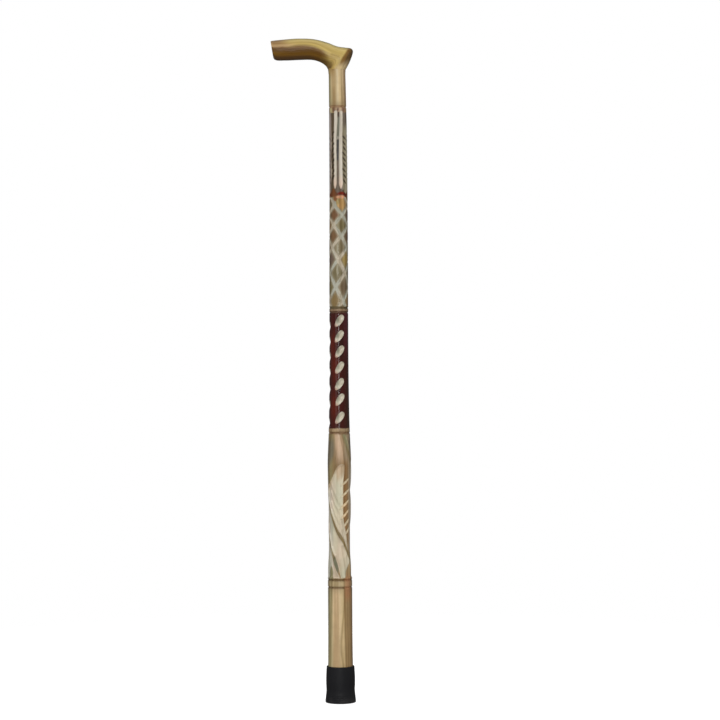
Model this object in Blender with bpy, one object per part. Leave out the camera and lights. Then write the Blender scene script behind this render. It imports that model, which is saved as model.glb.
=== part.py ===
"""Walking cane: crutch handle, carved one-piece shaft, hidden joining stud and rubber ferrule.

The cane stands upright on z = 0 with the shaft on the z axis. The handle's arm points along -X,
the heel along +X, and the carving's front faces -Y. Angles round the shaft are measured from
that front, positive towards +X.
"""

import math

import bmesh
import bpy
import numpy as np

# Overall sizes, in metres
TOTAL_HEIGHT = 0.900
JOINT_HEIGHT = 0.857
FERRULE_HEIGHT = 0.0490
FIT_GAP = 0.0003

# Handle: pairs of points on its lower and upper edge, walked from the arm's end round the bend to
# the neck, as (place, lower x, lower z, upper x, upper z, half thickness along Y)
HANDLE_EDGES = (
    (0.00, -0.0850, 0.8712, -0.0893, 0.8970, 0.0112),
    (0.15, -0.0690, 0.8704, -0.0730, 0.8984, 0.0120),
    (0.30, -0.0500, 0.8709, -0.0500, TOTAL_HEIGHT, 0.0126),
    (0.42, -0.0350, 0.8710, -0.0300, 0.8982, 0.0128),
    (0.52, -0.0240, 0.8686, -0.0130, 0.8934, 0.0127),
    (0.61, -0.0178, 0.8647, 0.0010, 0.8890, 0.0125),
    (0.69, -0.0144, 0.8614, 0.0120, 0.8874, 0.0121),
    (0.75, -0.0130, 0.8596, 0.0186, 0.8862, 0.0118),
    (0.80, -0.0124, 0.8588, 0.0214, 0.8834, 0.0115),
    (0.85, -0.0120, 0.8582, 0.0206, 0.8793, 0.0114),
    (0.92, -0.0116, 0.8576, 0.0160, 0.8680, 0.0113),
    (1.00, -0.0113, JOINT_HEIGHT, 0.0113, JOINT_HEIGHT, 0.0113),
)
HANDLE_SECTIONS = 34
HANDLE_SIDES = 24
ARM_SQUARENESS = 2.5
NECK_SQUARENESS = 2.0
ARM_END_ROUNDING = 0.0022

# Stud: a steel rod glued half in the handle and half in the shaft
STUD_RADIUS = 0.004
STUD_LENGTH = 0.060
STUD_CHAMFER = 0.001
STUD_SIDES = 20

# Shaft: diameter before carving, at heights above the floor
SHAFT_DIAMETERS = (
    (0.0495, 0.0338),
    (0.1098, 0.0328),
    (0.1639, 0.0328),
    (0.1969, 0.0330),
    (0.2926, 0.0334),
    (0.3198, 0.0326),
    (0.3402, 0.0306),
    (0.3740, 0.0282),
    (0.4147, 0.0267),
    (0.5275, 0.0255),
    (0.5915, 0.0254),
    (0.6799, 0.0246),
    (0.7616, 0.0241),
    (0.8066, 0.0234),
    (JOINT_HEIGHT, 0.0226),
)
SHAFT_SIDES = 40
SEAT_DIAMETER = 0.0334
SEAT_CHAMFER = 0.0015
SHOULDER_RISE = 0.0005
PLAIN_ROW_STEP = 0.020
LONG_CUT_ROW_STEP = 0.0090
SHORT_CUT_ROW_STEP = 0.0043
BARB_ROW_STEP = 0.0052

# Turned ring grooves that part the carved bands
NECK_RING = 0.8077
SCOOP_BAND_RING = 0.3656
FOOT_RING = 0.1559
RING_HEIGHTS = (NECK_RING, 0.5360, 0.5283, SCOOP_BAND_RING, 0.1660, FOOT_RING)
RING_WIDTH = 0.0026
RING_DEPTH = 0.0006

# Fluted band: three pairs of long flutes, round at the top and pointed at the foot
FLUTE_TOP = 0.8035
FLUTE_FOOT = 0.6910
FLUTE_PAIRS = 3
FLUTE_PAIR_TURN = math.radians(4.5)
FLUTE_SPREAD = math.radians(19.5)
FLUTE_HALF_WIDTH = 0.0026
FLUTE_POINT = 0.016
FLUTE_DEPTH = 0.0012

# Lattice band: four grooves winding each way, crossing in diamonds. Each table gives the height at
# which every next groove passes the front, for the grooves that fall and rise to the right
LATTICE_TOP = 0.6790
LATTICE_FOOT = 0.5400
LATTICE_STARTS = 4
FALLING_GROOVES = (
    (0.5150, 3.90),
    (0.5560, 2.95),
    (0.5996, 1.96),
    (0.6368, 0.97),
    (0.6660, -0.02),
    (0.7000, -1.10),
)
RISING_GROOVES = (
    (0.5150, 4.60),
    (0.5340, 4.00),
    (0.5675, 3.00),
    (0.5996, 2.00),
    (0.6265, 1.00),
    (0.6524, 0.03),
    (0.6785, -0.97),
    (0.7000, -1.90),
)
FRONT_SPACING = 0.14
LATTICE_LEAN = math.radians(33)
LATTICE_HALF_WIDTH = 0.0024
LATTICE_DEPTH = 0.0009

# Scooped band: three columns of seven leaning oval scoops. A column is its turn from the front in
# degrees, and how far it sits below the front one
SCOOP_TOP = 0.5156
SCOOP_PITCH = 0.0218
SCOOP_ROWS = 7
SCOOP_COLUMNS = ((4, 0.0), (127, 0.003), (257, 0.006))
SCOOP_LENGTH = 0.0200
SCOOP_WIDTH = 0.0084
SCOOP_LEAN = math.radians(40)
SCOOP_DEPTH = 0.0017

# Palm-leaf band: two leaves, the second turned and raised, each with a slowly turning spine, long
# barbs on its left side and short barbs on its right. A leaf is its turn in degrees and its rise;
# other turns are in degrees from the first leaf's front, and the twist is in degrees per metre
LEAVES = ((0, 0.0), (150, 0.035))
LEAF_TWIST = 416.0
BAND_FOOT = 0.1700
BAND_FOOT_FADE = 0.006
SPINE_HEIGHT = 0.2650
SPINE_TURN = 13
SPINE_LENGTH = 0.124
SPINE_WIDTH = 0.0120
SPINE_DEPTH = 0.0016
LONG_BARB_HEIGHTS = (0.1958, 0.2111, 0.2264, 0.2417, 0.2570, 0.2723)
LONG_BARB_TURN = -22
LONG_BARB_LENGTH = 0.064
LONG_BARB_WIDTH = 0.0092
LONG_BARB_LEAN = math.radians(-29)
LONG_BARB_DEPTH = 0.0021
SHORT_BARB_HEIGHTS = (0.2310, 0.2443, 0.2576, 0.2709, 0.2842, 0.2975)
SHORT_BARB_REACH = 21
SHORT_BARB_LENGTH = 0.0160
SHORT_BARB_WIDTH = 0.0056
SHORT_BARB_LEAN = math.radians(44)
SHORT_BARB_DEPTH = 0.0010

# Ferrule: outside radius at heights, and the bore that grips the shaft's seat
FERRULE_OUTSIDE = (
    (0.0030, 0.0207),
    (0.0080, 0.0201),
    (0.0148, 0.01945),
    (0.0283, 0.01970),
    (0.0419, 0.0193),
    (0.0470, 0.0190),
)
FERRULE_SIDES = 36
FERRULE_WALL_ROWS = 7
ROUNDING_STEPS = 3
FOOT_ROUNDING = 0.0018
LIP_ROUNDING = 0.0008
BORE_RADIUS = SEAT_DIAMETER / 2 + FIT_GAP
BORE_FLOOR = 0.0110
TREAD_GROOVES = (0.0080, 0.0135)
TREAD_WIDTH = 0.0020
TREAD_DEPTH = 0.0018

# Washer: a steel disc that keeps the shaft's end from punching through the ferrule
WASHER_RADIUS = 0.0162
WASHER_HOLE_RADIUS = 0.0030
WASHER_THICKNESS = 0.0015
WASHER_BOTTOM = BORE_FLOOR + FIT_GAP
SHAFT_BOTTOM = WASHER_BOTTOM + WASHER_THICKNESS + FIT_GAP

SHARP_ANGLE = math.radians(40)
THINNEST = 1e-6
FULL_TURN = 2 * math.pi


def clear_objects():
    for found in list(bpy.data.objects):
        bpy.data.objects.remove(found, do_unlink=True)


def new_material(name, colour, roughness, metallic=0.0):
    material = bpy.data.materials.new(name)
    material.use_nodes = True
    shader = material.node_tree.nodes["Principled BSDF"]
    shader.inputs["Base Color"].default_value = (*colour, 1.0)
    shader.inputs["Roughness"].default_value = roughness
    shader.inputs["Metallic"].default_value = metallic
    return material


def smooth_through(knots, places):
    """Values at the places of the smooth curve through knots of (place, value, value, ...)."""
    table = np.array(knots)
    at, values = table[:, 0], table[:, 1:]
    slopes = np.gradient(values, at, axis=0)
    span = np.clip(np.searchsorted(at, places, side="right") - 1, 0, len(at) - 2)
    width = (at[span + 1] - at[span])[:, None]
    t = (np.asarray(places)[:, None] - at[span][:, None]) / width
    return (
        (1 + 2 * t) * (1 - t) ** 2 * values[span]
        + t * (1 - t) ** 2 * width * slopes[span]
        + t**2 * (3 - 2 * t) * values[span + 1]
        + t**2 * (t - 1) * width * slopes[span + 1]
    )


def add_object(name, mesh_builder, material):
    """Make the object whose closed mesh the builder fills in."""
    bm = bmesh.new()
    mesh_builder(bm)
    bmesh.ops.recalc_face_normals(bm, faces=bm.faces)
    mesh = bpy.data.meshes.new(name)
    bm.to_mesh(mesh)
    bm.free()
    mesh.shade_smooth()
    mesh.set_sharp_from_angle(angle=SHARP_ANGLE)
    mesh.materials.append(material)
    made = bpy.data.objects.new(name, mesh)
    bpy.context.collection.objects.link(made)
    return made


def skin(bm, rings, closed=False):
    """Join neighbouring rings of points with faces, and cap both ends unless the skin is closed."""
    loops = [[bm.verts.new(point) for point in ring] for ring in rings]
    pairs = list(zip(loops, loops[1:]))
    if closed:
        pairs.append((loops[-1], loops[0]))
    for lower, upper in pairs:
        for here in range(len(lower)):
            there = (here + 1) % len(lower)
            bm.faces.new((lower[here], lower[there], upper[there], upper[here]))
    if not closed:
        bm.faces.new(loops[0])
        bm.faces.new(loops[-1])


def circle(radius, height, sides):
    turns = [FULL_TURN * step / sides for step in range(sides)]
    return [(radius * math.sin(turn), -radius * math.cos(turn), height) for turn in turns]


def cut_with(target, cutter):
    """Take the cutter's shape out of the target."""
    cutter.hide_render = True
    cutter.display_type = "WIRE"
    boolean = target.modifiers.new("bore", "BOOLEAN")
    boolean.operation = "DIFFERENCE"
    boolean.solver = "EXACT"
    boolean.object = cutter


def signed_power(value, power):
    return math.copysign(abs(value) ** power, value)


def handle_ring(place, shrink=1.0, shift=(0.0, 0.0)):
    """One cross-section of the handle: a squared oval between its lower and upper edge."""
    low_x, low_z, high_x, high_z, half_y = smooth_through(HANDLE_EDGES, [place])[0]
    middle_x = (low_x + high_x) / 2 + shift[0]
    middle_z = (low_z + high_z) / 2 + shift[1]
    reach_x = (high_x - low_x) / 2 * shrink
    reach_z = (high_z - low_z) / 2 * shrink
    blend = place**3
    power = 2 / (ARM_SQUARENESS * (1 - blend) + NECK_SQUARENESS * blend)
    ring = []
    for step in range(HANDLE_SIDES):
        turn = FULL_TURN * step / HANDLE_SIDES
        across = signed_power(math.cos(turn), power)
        aside = signed_power(math.sin(turn), power)
        ring.append(
            (
                middle_x + across * reach_x,
                aside * half_y * shrink,
                middle_z + across * reach_z,
            )
        )
    return ring


def build_handle(bm):
    """The arm's end is rounded over, then the sections follow the bend down to the neck."""
    low_x, low_z, high_x, high_z = HANDLE_EDGES[0][1:5]
    slant = math.atan2(high_z - low_z, high_x - low_x)
    outward = (-math.sin(slant), math.cos(slant))
    half_height = math.hypot(high_x - low_x, high_z - low_z) / 2
    rings = []
    for turn in (math.radians(angle) for angle in (90, 45, 0)):
        inset = ARM_END_ROUNDING * (1 - math.cos(turn))
        proud = ARM_END_ROUNDING * (math.sin(turn) - 1)
        rings.append(
            handle_ring(0.0, 1 - inset / half_height, (outward[0] * proud, outward[1] * proud))
        )
    for step in range(1, HANDLE_SECTIONS + 1):
        rings.append(handle_ring(step / HANDLE_SECTIONS))
    skin(bm, rings)


def build_stud_hole(bm):
    radius = STUD_RADIUS + FIT_GAP
    reach = STUD_LENGTH / 2 + FIT_GAP
    skin(
        bm,
        [
            circle(radius, JOINT_HEIGHT - reach, STUD_SIDES),
            circle(radius, JOINT_HEIGHT + reach, STUD_SIDES),
        ],
    )


def build_stud(bm):
    half = STUD_LENGTH / 2
    profile = (
        (STUD_RADIUS - STUD_CHAMFER, -half),
        (STUD_RADIUS, -half + STUD_CHAMFER),
        (STUD_RADIUS, half - STUD_CHAMFER),
        (STUD_RADIUS - STUD_CHAMFER, half),
    )
    skin(bm, [circle(radius, JOINT_HEIGHT + rise, STUD_SIDES) for radius, rise in profile])


def gouge(distance, half_width):
    """Depth share of a round-bottomed cut: 1 on its line, 0 at its edges and beyond."""
    return np.clip(1 - (distance / half_width) ** 2, 0, 1)


def turn_between(angle, centre):
    """Angle from centre, between minus and plus half a turn."""
    return (angle - centre + math.pi) % FULL_TURN - math.pi


def oval_cut(angle, height, radius, centre, length, width, lean, depth):
    """A leaning oval scoop; centre is (angle, height) and a positive lean tips its top to +X."""
    aside = radius * turn_between(angle, centre[0])
    rise = height - centre[1]
    along = rise * math.cos(lean) + aside * math.sin(lean)
    across = aside * math.cos(lean) - rise * math.sin(lean)
    return depth * np.clip(1 - (2 * along / length) ** 2 - (2 * across / width) ** 2, 0, 1)


def flute_cuts(angle, height, radius):
    round_top = np.sqrt(np.clip((FLUTE_TOP - height) / FLUTE_HALF_WIDTH, 0, 1))
    pointed_foot = np.clip((height - FLUTE_FOOT) / FLUTE_POINT, 0, 1)
    half_width = np.maximum(FLUTE_HALF_WIDTH * round_top * pointed_foot, THINNEST)
    deepest = np.zeros_like(angle)
    for pair in range(FLUTE_PAIRS):
        for side in (-1, 1):
            centre = FLUTE_PAIR_TURN + side * FLUTE_SPREAD + pair * FULL_TURN / FLUTE_PAIRS
            aside = radius * turn_between(angle, centre)
            cut = FLUTE_DEPTH * gouge(aside, half_width) * round_top * pointed_foot
            deepest = np.maximum(deepest, cut)
    return deepest


def lattice_cuts(angle, height, radius):
    """Grooves a little further apart at the front than at the back, as a carver spaces them."""
    step = FULL_TURN / LATTICE_STARTS
    turned = (angle - FRONT_SPACING * np.sin(angle)) / step
    inside = (height < LATTICE_TOP) & (height > LATTICE_FOOT)
    deepest = np.zeros_like(angle)
    for grooves, hand in ((FALLING_GROOVES, -1), (RISING_GROOVES, 1)):
        wound = smooth_through(grooves, height)[:, 0] + hand * turned
        aside = (wound - np.round(wound)) * step * radius * math.cos(LATTICE_LEAN)
        deepest = np.maximum(deepest, LATTICE_DEPTH * gouge(aside, LATTICE_HALF_WIDTH) * inside)
    return deepest


def scoop_cuts(angle, height, radius):
    deepest = np.zeros_like(angle)
    for turn, drop in SCOOP_COLUMNS:
        for row in range(SCOOP_ROWS):
            centre = (math.radians(turn), SCOOP_TOP - drop - row * SCOOP_PITCH)
            cut = oval_cut(
                angle, height, radius, centre, SCOOP_LENGTH, SCOOP_WIDTH, SCOOP_LEAN, SCOOP_DEPTH
            )
            deepest = np.maximum(deepest, cut)
    return deepest


def spine_turn(height):
    """Turn of a leaf's spine, in degrees: it falls to the right."""
    return SPINE_TURN + LEAF_TWIST * (SPINE_HEIGHT - height)


def leaf_cuts(angle, height, radius):
    """The spine is a long oval, and so is each barb; all of it fades out above the foot rings."""
    spine_lean = -math.atan(math.radians(LEAF_TWIST) * float(radius.mean()))
    deepest = np.zeros_like(angle)
    for leaf_turn, rise in LEAVES:
        cuts = [(SPINE_TURN, SPINE_HEIGHT, SPINE_LENGTH, SPINE_WIDTH, spine_lean, SPINE_DEPTH)]
        for level in LONG_BARB_HEIGHTS:
            cuts.append(
                (LONG_BARB_TURN, level, LONG_BARB_LENGTH, LONG_BARB_WIDTH, LONG_BARB_LEAN,
                 LONG_BARB_DEPTH)
            )
        for level in SHORT_BARB_HEIGHTS:
            cuts.append(
                (spine_turn(level) + SHORT_BARB_REACH, level, SHORT_BARB_LENGTH, SHORT_BARB_WIDTH,
                 SHORT_BARB_LEAN, SHORT_BARB_DEPTH)
            )
        for turn, level, length, width, lean, depth in cuts:
            centre = (math.radians(turn + leaf_turn), level + rise)
            cut = oval_cut(angle, height, radius, centre, length, width, lean, depth)
            deepest = np.maximum(deepest, cut)
    return deepest * np.clip((height - BAND_FOOT) / BAND_FOOT_FADE, 0, 1)


def ring_cuts(height):
    return RING_DEPTH * max(float(gouge(height - ring, RING_WIDTH / 2)) for ring in RING_HEIGHTS)


def shaft_heights():
    """Heights of the shaft's rows of points: close in the carved bands and at the rings."""
    scoop_low = SCOOP_TOP - (SCOOP_ROWS - 0.5) * SCOOP_PITCH
    scoop_high = SCOOP_TOP + 0.5 * SCOOP_PITCH
    bands = (
        (FERRULE_HEIGHT + SHOULDER_RISE, FOOT_RING, PLAIN_ROW_STEP),
        (BAND_FOOT, SCOOP_BAND_RING, BARB_ROW_STEP),
        (scoop_low, scoop_high, SHORT_CUT_ROW_STEP),
        (LATTICE_FOOT, LATTICE_TOP, SHORT_CUT_ROW_STEP),
        (FLUTE_FOOT, FLUTE_TOP, LONG_CUT_ROW_STEP),
        (NECK_RING, JOINT_HEIGHT - FIT_GAP, PLAIN_ROW_STEP),
    )
    heights = []
    for low, high, step in bands:
        heights.extend(np.linspace(low, high, round((high - low) / step) + 1))
    for ring in RING_HEIGHTS:
        heights.extend((ring - RING_WIDTH / 2, ring, ring + RING_WIDTH / 2))
    rows = []
    for height in sorted(heights):
        if not rows or height - rows[-1] > RING_WIDTH / 4:
            rows.append(height)
    return rows


def build_shaft(bm):
    """The seat for the ferrule, a small shoulder above it, then the carved length."""
    seat_radius = SEAT_DIAMETER / 2
    rings = [
        circle(seat_radius - SEAT_CHAMFER, SHAFT_BOTTOM, SHAFT_SIDES),
        circle(seat_radius, SHAFT_BOTTOM + SEAT_CHAMFER, SHAFT_SIDES),
        circle(seat_radius, FERRULE_HEIGHT, SHAFT_SIDES),
    ]
    heights = shaft_heights()
    radii = smooth_through(SHAFT_DIAMETERS, heights)[:, 0] / 2
    angle = np.array([FULL_TURN * step / SHAFT_SIDES for step in range(SHAFT_SIDES)])
    for row, uncut in zip(heights, radii):
        height = np.full_like(angle, row)
        radius = np.full_like(angle, uncut)
        cut = np.full_like(angle, ring_cuts(row))
        for band in (flute_cuts, lattice_cuts, scoop_cuts, leaf_cuts):
            cut = np.maximum(cut, band(angle, height, radius))
        kept = radius - cut
        rings.append(list(zip(kept * np.sin(angle), -kept * np.cos(angle), height)))
    skin(bm, rings)


def quarter_round(centre_radius, centre_height, rounding, start):
    """Points of a quarter circle in the turning plane, from start degrees anticlockwise."""
    points = []
    for step in range(ROUNDING_STEPS + 1):
        turn = math.radians(start + 90 * step / ROUNDING_STEPS)
        points.append(
            (centre_radius + rounding * math.cos(turn), centre_height + rounding * math.sin(turn))
        )
    return points


def build_ferrule(bm):
    """One closed outline turned round: tread, outside wall, lip, bore and floor."""
    tread = []
    for groove in TREAD_GROOVES:
        inner, outer = groove - TREAD_WIDTH / 2, groove + TREAD_WIDTH / 2
        tread += [(inner, 0.0), (inner, TREAD_DEPTH), (outer, TREAD_DEPTH), (outer, 0.0)]
    foot_radius = FERRULE_OUTSIDE[0][1]
    foot = quarter_round(foot_radius - FOOT_ROUNDING, FOOT_ROUNDING, FOOT_ROUNDING, -90)
    wall_heights = np.linspace(FERRULE_OUTSIDE[0][0], FERRULE_OUTSIDE[-1][0], FERRULE_WALL_ROWS)
    wall_radii = smooth_through(FERRULE_OUTSIDE, wall_heights)[:, 0]
    wall = list(zip(wall_radii, wall_heights))
    lip_radius = FERRULE_OUTSIDE[-1][1]
    lip = quarter_round(lip_radius - LIP_ROUNDING, FERRULE_HEIGHT - LIP_ROUNDING, LIP_ROUNDING, 0)
    bore = [(BORE_RADIUS, FERRULE_HEIGHT), (BORE_RADIUS, BORE_FLOOR)]
    outline = tread + foot + wall + lip + bore
    skin(bm, [circle(radius, height, FERRULE_SIDES) for radius, height in outline])


def build_washer(bm):
    low, high = WASHER_BOTTOM, WASHER_BOTTOM + WASHER_THICKNESS
    outline = (
        (WASHER_HOLE_RADIUS, low),
        (WASHER_RADIUS, low),
        (WASHER_RADIUS, high),
        (WASHER_HOLE_RADIUS, high),
    )
    skin(bm, [circle(radius, height, FERRULE_SIDES) for radius, height in outline], closed=True)


def build_cane():
    clear_objects()
    handle_wood = new_material("handle_wood", (0.42, 0.27, 0.10), 0.35)
    carved_wood = new_material("carved_wood", (0.47, 0.34, 0.19), 0.35)
    stud_steel = new_material("stud_steel", (0.55, 0.55, 0.56), 0.35, 1.0)
    ferrule_rubber = new_material("ferrule_rubber", (0.012, 0.012, 0.013), 0.55)
    washer_steel = new_material("washer_steel", (0.60, 0.60, 0.60), 0.30, 1.0)

    handle = add_object("handle", build_handle, handle_wood)
    shaft = add_object("shaft", build_shaft, carved_wood)
    add_object("handle_stud", build_stud, stud_steel)
    stud_hole = add_object("stud_hole_cutter", build_stud_hole, stud_steel)
    cut_with(handle, stud_hole)
    cut_with(shaft, stud_hole)

    ferrule = add_object("ferrule", build_ferrule, ferrule_rubber)
    washer = add_object("ferrule_washer", build_washer, washer_steel)
    washer.parent = ferrule


build_cane()
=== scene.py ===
import math

import bmesh
import bpy
import numpy as np
from mathutils import Matrix, Vector


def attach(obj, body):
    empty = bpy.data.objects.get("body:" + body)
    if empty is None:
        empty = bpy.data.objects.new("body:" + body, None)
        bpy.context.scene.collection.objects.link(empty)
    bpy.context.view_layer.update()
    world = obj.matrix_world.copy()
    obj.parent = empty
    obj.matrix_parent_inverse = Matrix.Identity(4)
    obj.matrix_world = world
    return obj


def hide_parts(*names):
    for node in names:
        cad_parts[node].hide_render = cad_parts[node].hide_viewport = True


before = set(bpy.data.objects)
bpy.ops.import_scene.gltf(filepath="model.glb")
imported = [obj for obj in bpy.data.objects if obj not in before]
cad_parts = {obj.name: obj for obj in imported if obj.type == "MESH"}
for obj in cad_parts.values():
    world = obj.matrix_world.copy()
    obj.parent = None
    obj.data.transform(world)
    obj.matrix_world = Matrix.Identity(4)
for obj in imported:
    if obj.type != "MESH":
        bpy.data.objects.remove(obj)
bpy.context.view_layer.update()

# Shaft: one length of pale hardwood, turned with ring grooves and thicker towards its foot. It is
# carved by hand in four bands, then stained and lacquered band by band. Its foot is turned down a
# little to a seat that is pushed into the ferrule, and its top is bored for the joining stud.

JOINT_HEIGHT = 0.857
JOINT_LINE = 0.00003
FERRULE_HEIGHT = 0.0490
# The rows of a table start with the place, here the height, at which its other values hold
SHAFT_DIAMETERS = (
    (0.0495, 0.0338),
    (0.1098, 0.0328),
    (0.1639, 0.0328),
    (0.1969, 0.0330),
    (0.2926, 0.0334),
    (0.3198, 0.0326),
    (0.3402, 0.0306),
    (0.3740, 0.0282),
    (0.4147, 0.0267),
    (0.5275, 0.0255),
    (0.5915, 0.0254),
    (0.6799, 0.0246),
    (0.7616, 0.0241),
    (0.8066, 0.0234),
    (JOINT_HEIGHT, 0.0226),
)
SHAFT_SIDES = 128
SHAFT_BOTTOM = 0.0131
SHOULDER_HEIGHT = 0.0495
SEAT_RADIUS = 0.0167
SEAT_CHAMFER = 0.0015
SEAT_ROWS = (0.022, 0.031, 0.040)
# Rings of the seat with sharp edges, counted from below: its chamfer and its shoulder
SEAT_CORNERS = (2, 3, 7, 8)
EDGE_CHAMFER = 0.0002
STUD_HOLE_RADIUS = 0.0043
STUD_HOLE_REACH = 0.0303
CARVED_FROM, CARVED_TO = 0.1535, 0.8105
CARVED_ROW_STEP = 0.00103
PLAIN_ROW_STEP = 0.0035
SHAFT_BEND = (
    (0.0495, 0.0),
    (0.3000, 0.0001),
    (0.4500, 0.0003),
    (0.5600, 0.0006),
    (0.6630, 0.0010),
    (0.7600, 0.0010),
    (0.8250, 0.0004),
    (JOINT_HEIGHT, 0.0),
)
NECK_FLARE = 0.0008
HEEL_SIDE_FLARE = 0.45
NECK_FLARE_FROM = 0.8480
NECK_FLARE_CURVE = 1.6
FULL_TURN = 2 * math.pi

NECK_RING = 0.8062
LATTICE_RING = 0.5336
LACQUER_RING = 0.5274
LEAF_BAND_RING = 0.3644
FOOT_RINGS = (0.1658, 0.1559)
RING_HEIGHTS = (NECK_RING, LATTICE_RING, LACQUER_RING, LEAF_BAND_RING, *FOOT_RINGS)
RING_HALF_WIDTH = 0.0013
RING_DEPTH = 0.0006
RING_ROW_OFFSETS = (-0.0013, -0.0009, -0.0005, 0.0, 0.0005, 0.0009, 0.0013)


def smooth_through(knots, places):
    """Values at the places of the smooth curve through knots of (place, value, value, ...)."""
    table = np.array(knots)
    at, values = table[:, 0], table[:, 1:]
    slopes = np.gradient(values, at, axis=0)
    places = np.asarray(places, float)
    span = np.clip(np.searchsorted(at, places, side="right") - 1, 0, len(at) - 2)
    width = (at[span + 1] - at[span])[:, None]
    t = (places[:, None] - at[span][:, None]) / width
    return (
        (1 + 2 * t) * (1 - t) ** 2 * values[span]
        + t * (1 - t) ** 2 * width * slopes[span]
        + t**2 * (3 - 2 * t) * values[span + 1]
        + t**2 * (t - 1) * width * slopes[span + 1]
    )


def rise_between(value, low, high):
    """0 below low, 1 above high, with a smooth rise between."""
    t = np.clip((value - low) / (high - low), 0, 1)
    return t * t * (3 - 2 * t)


def fall_between(value, low, high):
    """1 below low, 0 above high, with a smooth fall between."""
    return rise_between(-value, -high, -low)


def tint(red, green, blue):
    """A colour as seen, 0 to 255, as the linear values that a shader takes."""
    seen = np.array([red, green, blue]) / 255
    return np.where(seen > 0.04045, ((seen + 0.055) / 1.055) ** 2.4, seen / 12.92)


def outside_rows():
    """Heights of the outside's rows of points, close together where it is carved."""
    spans = (
        (SHOULDER_HEIGHT, CARVED_FROM, PLAIN_ROW_STEP),
        (CARVED_FROM, CARVED_TO, CARVED_ROW_STEP),
        (CARVED_TO, JOINT_HEIGHT - JOINT_LINE - EDGE_CHAMFER, PLAIN_ROW_STEP),
    )
    plain = [np.linspace(low, high, round((high - low) / step) + 1) for low, high, step in spans]
    rows = np.unique(np.concatenate(plain).round(6))
    grooves = [ring + offset for ring in RING_HEIGHTS for offset in RING_ROW_OFFSETS]
    far = [abs(np.array(grooves) - row).min() > CARVED_ROW_STEP / 4 for row in rows]
    return np.unique(np.concatenate((rows[far], grooves)).round(6))


rows = outside_rows()
height = rows[:, None]
angle = (FULL_TURN * np.arange(SHAFT_SIDES) / SHAFT_SIDES)[None, :]
uncut = smooth_through(SHAFT_DIAMETERS, rows) / 2
carved_shape = (len(rows), SHAFT_SIDES)
deepest = np.zeros(carved_shape)
cut_share = np.full(carved_shape, -1.0)
ground = np.zeros((*carved_shape, 3))
bare = np.zeros((*carved_shape, 3))
lacquer = np.zeros(carved_shape)


def turn_from(degrees):
    """Angle round the shaft from a turn in degrees, between minus and plus half a turn."""
    return (angle - np.radians(degrees) + math.pi) % FULL_TURN - math.pi


def wobble(seed, per_metre=14, waves=5):
    """Smooth unevenness round and along the shaft, about -1 to 1, as a hand-led tool leaves it."""
    draw = np.random.default_rng(seed)
    total = 0
    for turns in range(1, waves + 1):
        rate = draw.uniform(-1, 1) * per_metre * FULL_TURN
        total = total + np.sin(turns * angle + rate * height + draw.uniform(0, FULL_TURN))
    return total / math.sqrt(waves)


def neck_flare(turn):
    """How far the neck stands proud of round at the joint: mostly on the arm's side."""
    toward_arm = (1 - np.sin(turn)) / 2
    return NECK_FLARE * (toward_arm**3 + HEEL_SIDE_FLARE * (1 - toward_arm) ** 3)


def gouge(distance, half_width):
    """Depth share of a round-bottomed cut: 1 on its line, 0 at its edge, less outside."""
    return np.clip(1 - (distance / half_width) ** 2, -1, 1)


def scoop_out(turn, level, length, width, lean, top=1.0, foot=1.0):
    """Depth share of a leaning scoop; a larger top or foot makes that end more pointed."""
    aside = uncut * turn_from(turn)
    rise = height - level
    lean = math.radians(lean)
    along = (rise * math.cos(lean) + aside * math.sin(lean)) * 2 / length
    across = (aside * math.cos(lean) - rise * math.sin(lean)) * 2 / width
    widest = (foot - top) / (foot + top)
    full = (1 - widest) ** top * (1 + widest) ** foot
    inside = np.clip(1 - along, 0, 2) ** top * np.clip(1 + along, 0, 2) ** foot / full
    past = np.clip(abs(along) - 1, 0, None)
    return np.clip(inside - 2 * past - across**2, -1, 1)


EDGE_EASING = 0.12


def carve(share, depth, colour):
    """Takes a cut with eased edges out of the shaft and washes its bare wood with a colour."""
    inside = np.clip(share, 0, 1)
    eased = inside**2 / (inside + EDGE_EASING) * (1 + EDGE_EASING)
    np.maximum(deepest, depth * eased, out=deepest)
    newer = share > cut_share
    bare[newer] = np.broadcast_to(colour, bare.shape)[newer]
    np.maximum(cut_share, share, out=cut_share)


def lay(coat, share, colour):
    """Lays a colour over a coat of colour, by share."""
    coat += (colour - coat) * np.broadcast_to(share, coat.shape[:2])[..., None]


def level_zone(low, high, soft=0.0006):
    """Share of a zone between two heights, which may wander round the shaft."""
    return rise_between(height, low - soft, low + soft) * fall_between(height, high - soft, high + soft)


def sector(turn, first, last, soft):
    """Share of the sector between two turns in degrees, counted from a turn."""
    off_middle = abs(np.degrees(turn_from(turn + (first + last) / 2)))
    half = (last - first) / 2
    return fall_between(off_middle, half - soft, half + soft)


def brushed(turn, level, half_turn, half_height, soft=0.4):
    """Share of a soft-edged oval patch of stain."""
    aside = np.degrees(turn_from(turn)) / half_turn
    off_middle = np.hypot(aside, (height - level) / half_height)
    return fall_between(off_middle, 1 - soft, 1 + soft)


def moved(turn, rise, mark):
    """A mark, whose values start with its turn and its height, moved round and up the shaft."""
    return (mark[0] + turn, mark[1] + rise, *mark[2:])


def stain_sectors(zone, turn, *stains):
    """Stains sectors of a zone, each as (share, first turn, last turn, softness, colour)."""
    for share, first, last, soft, colour in stains:
        lay(ground, share * zone * sector(turn, first, last, soft), colour)


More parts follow.
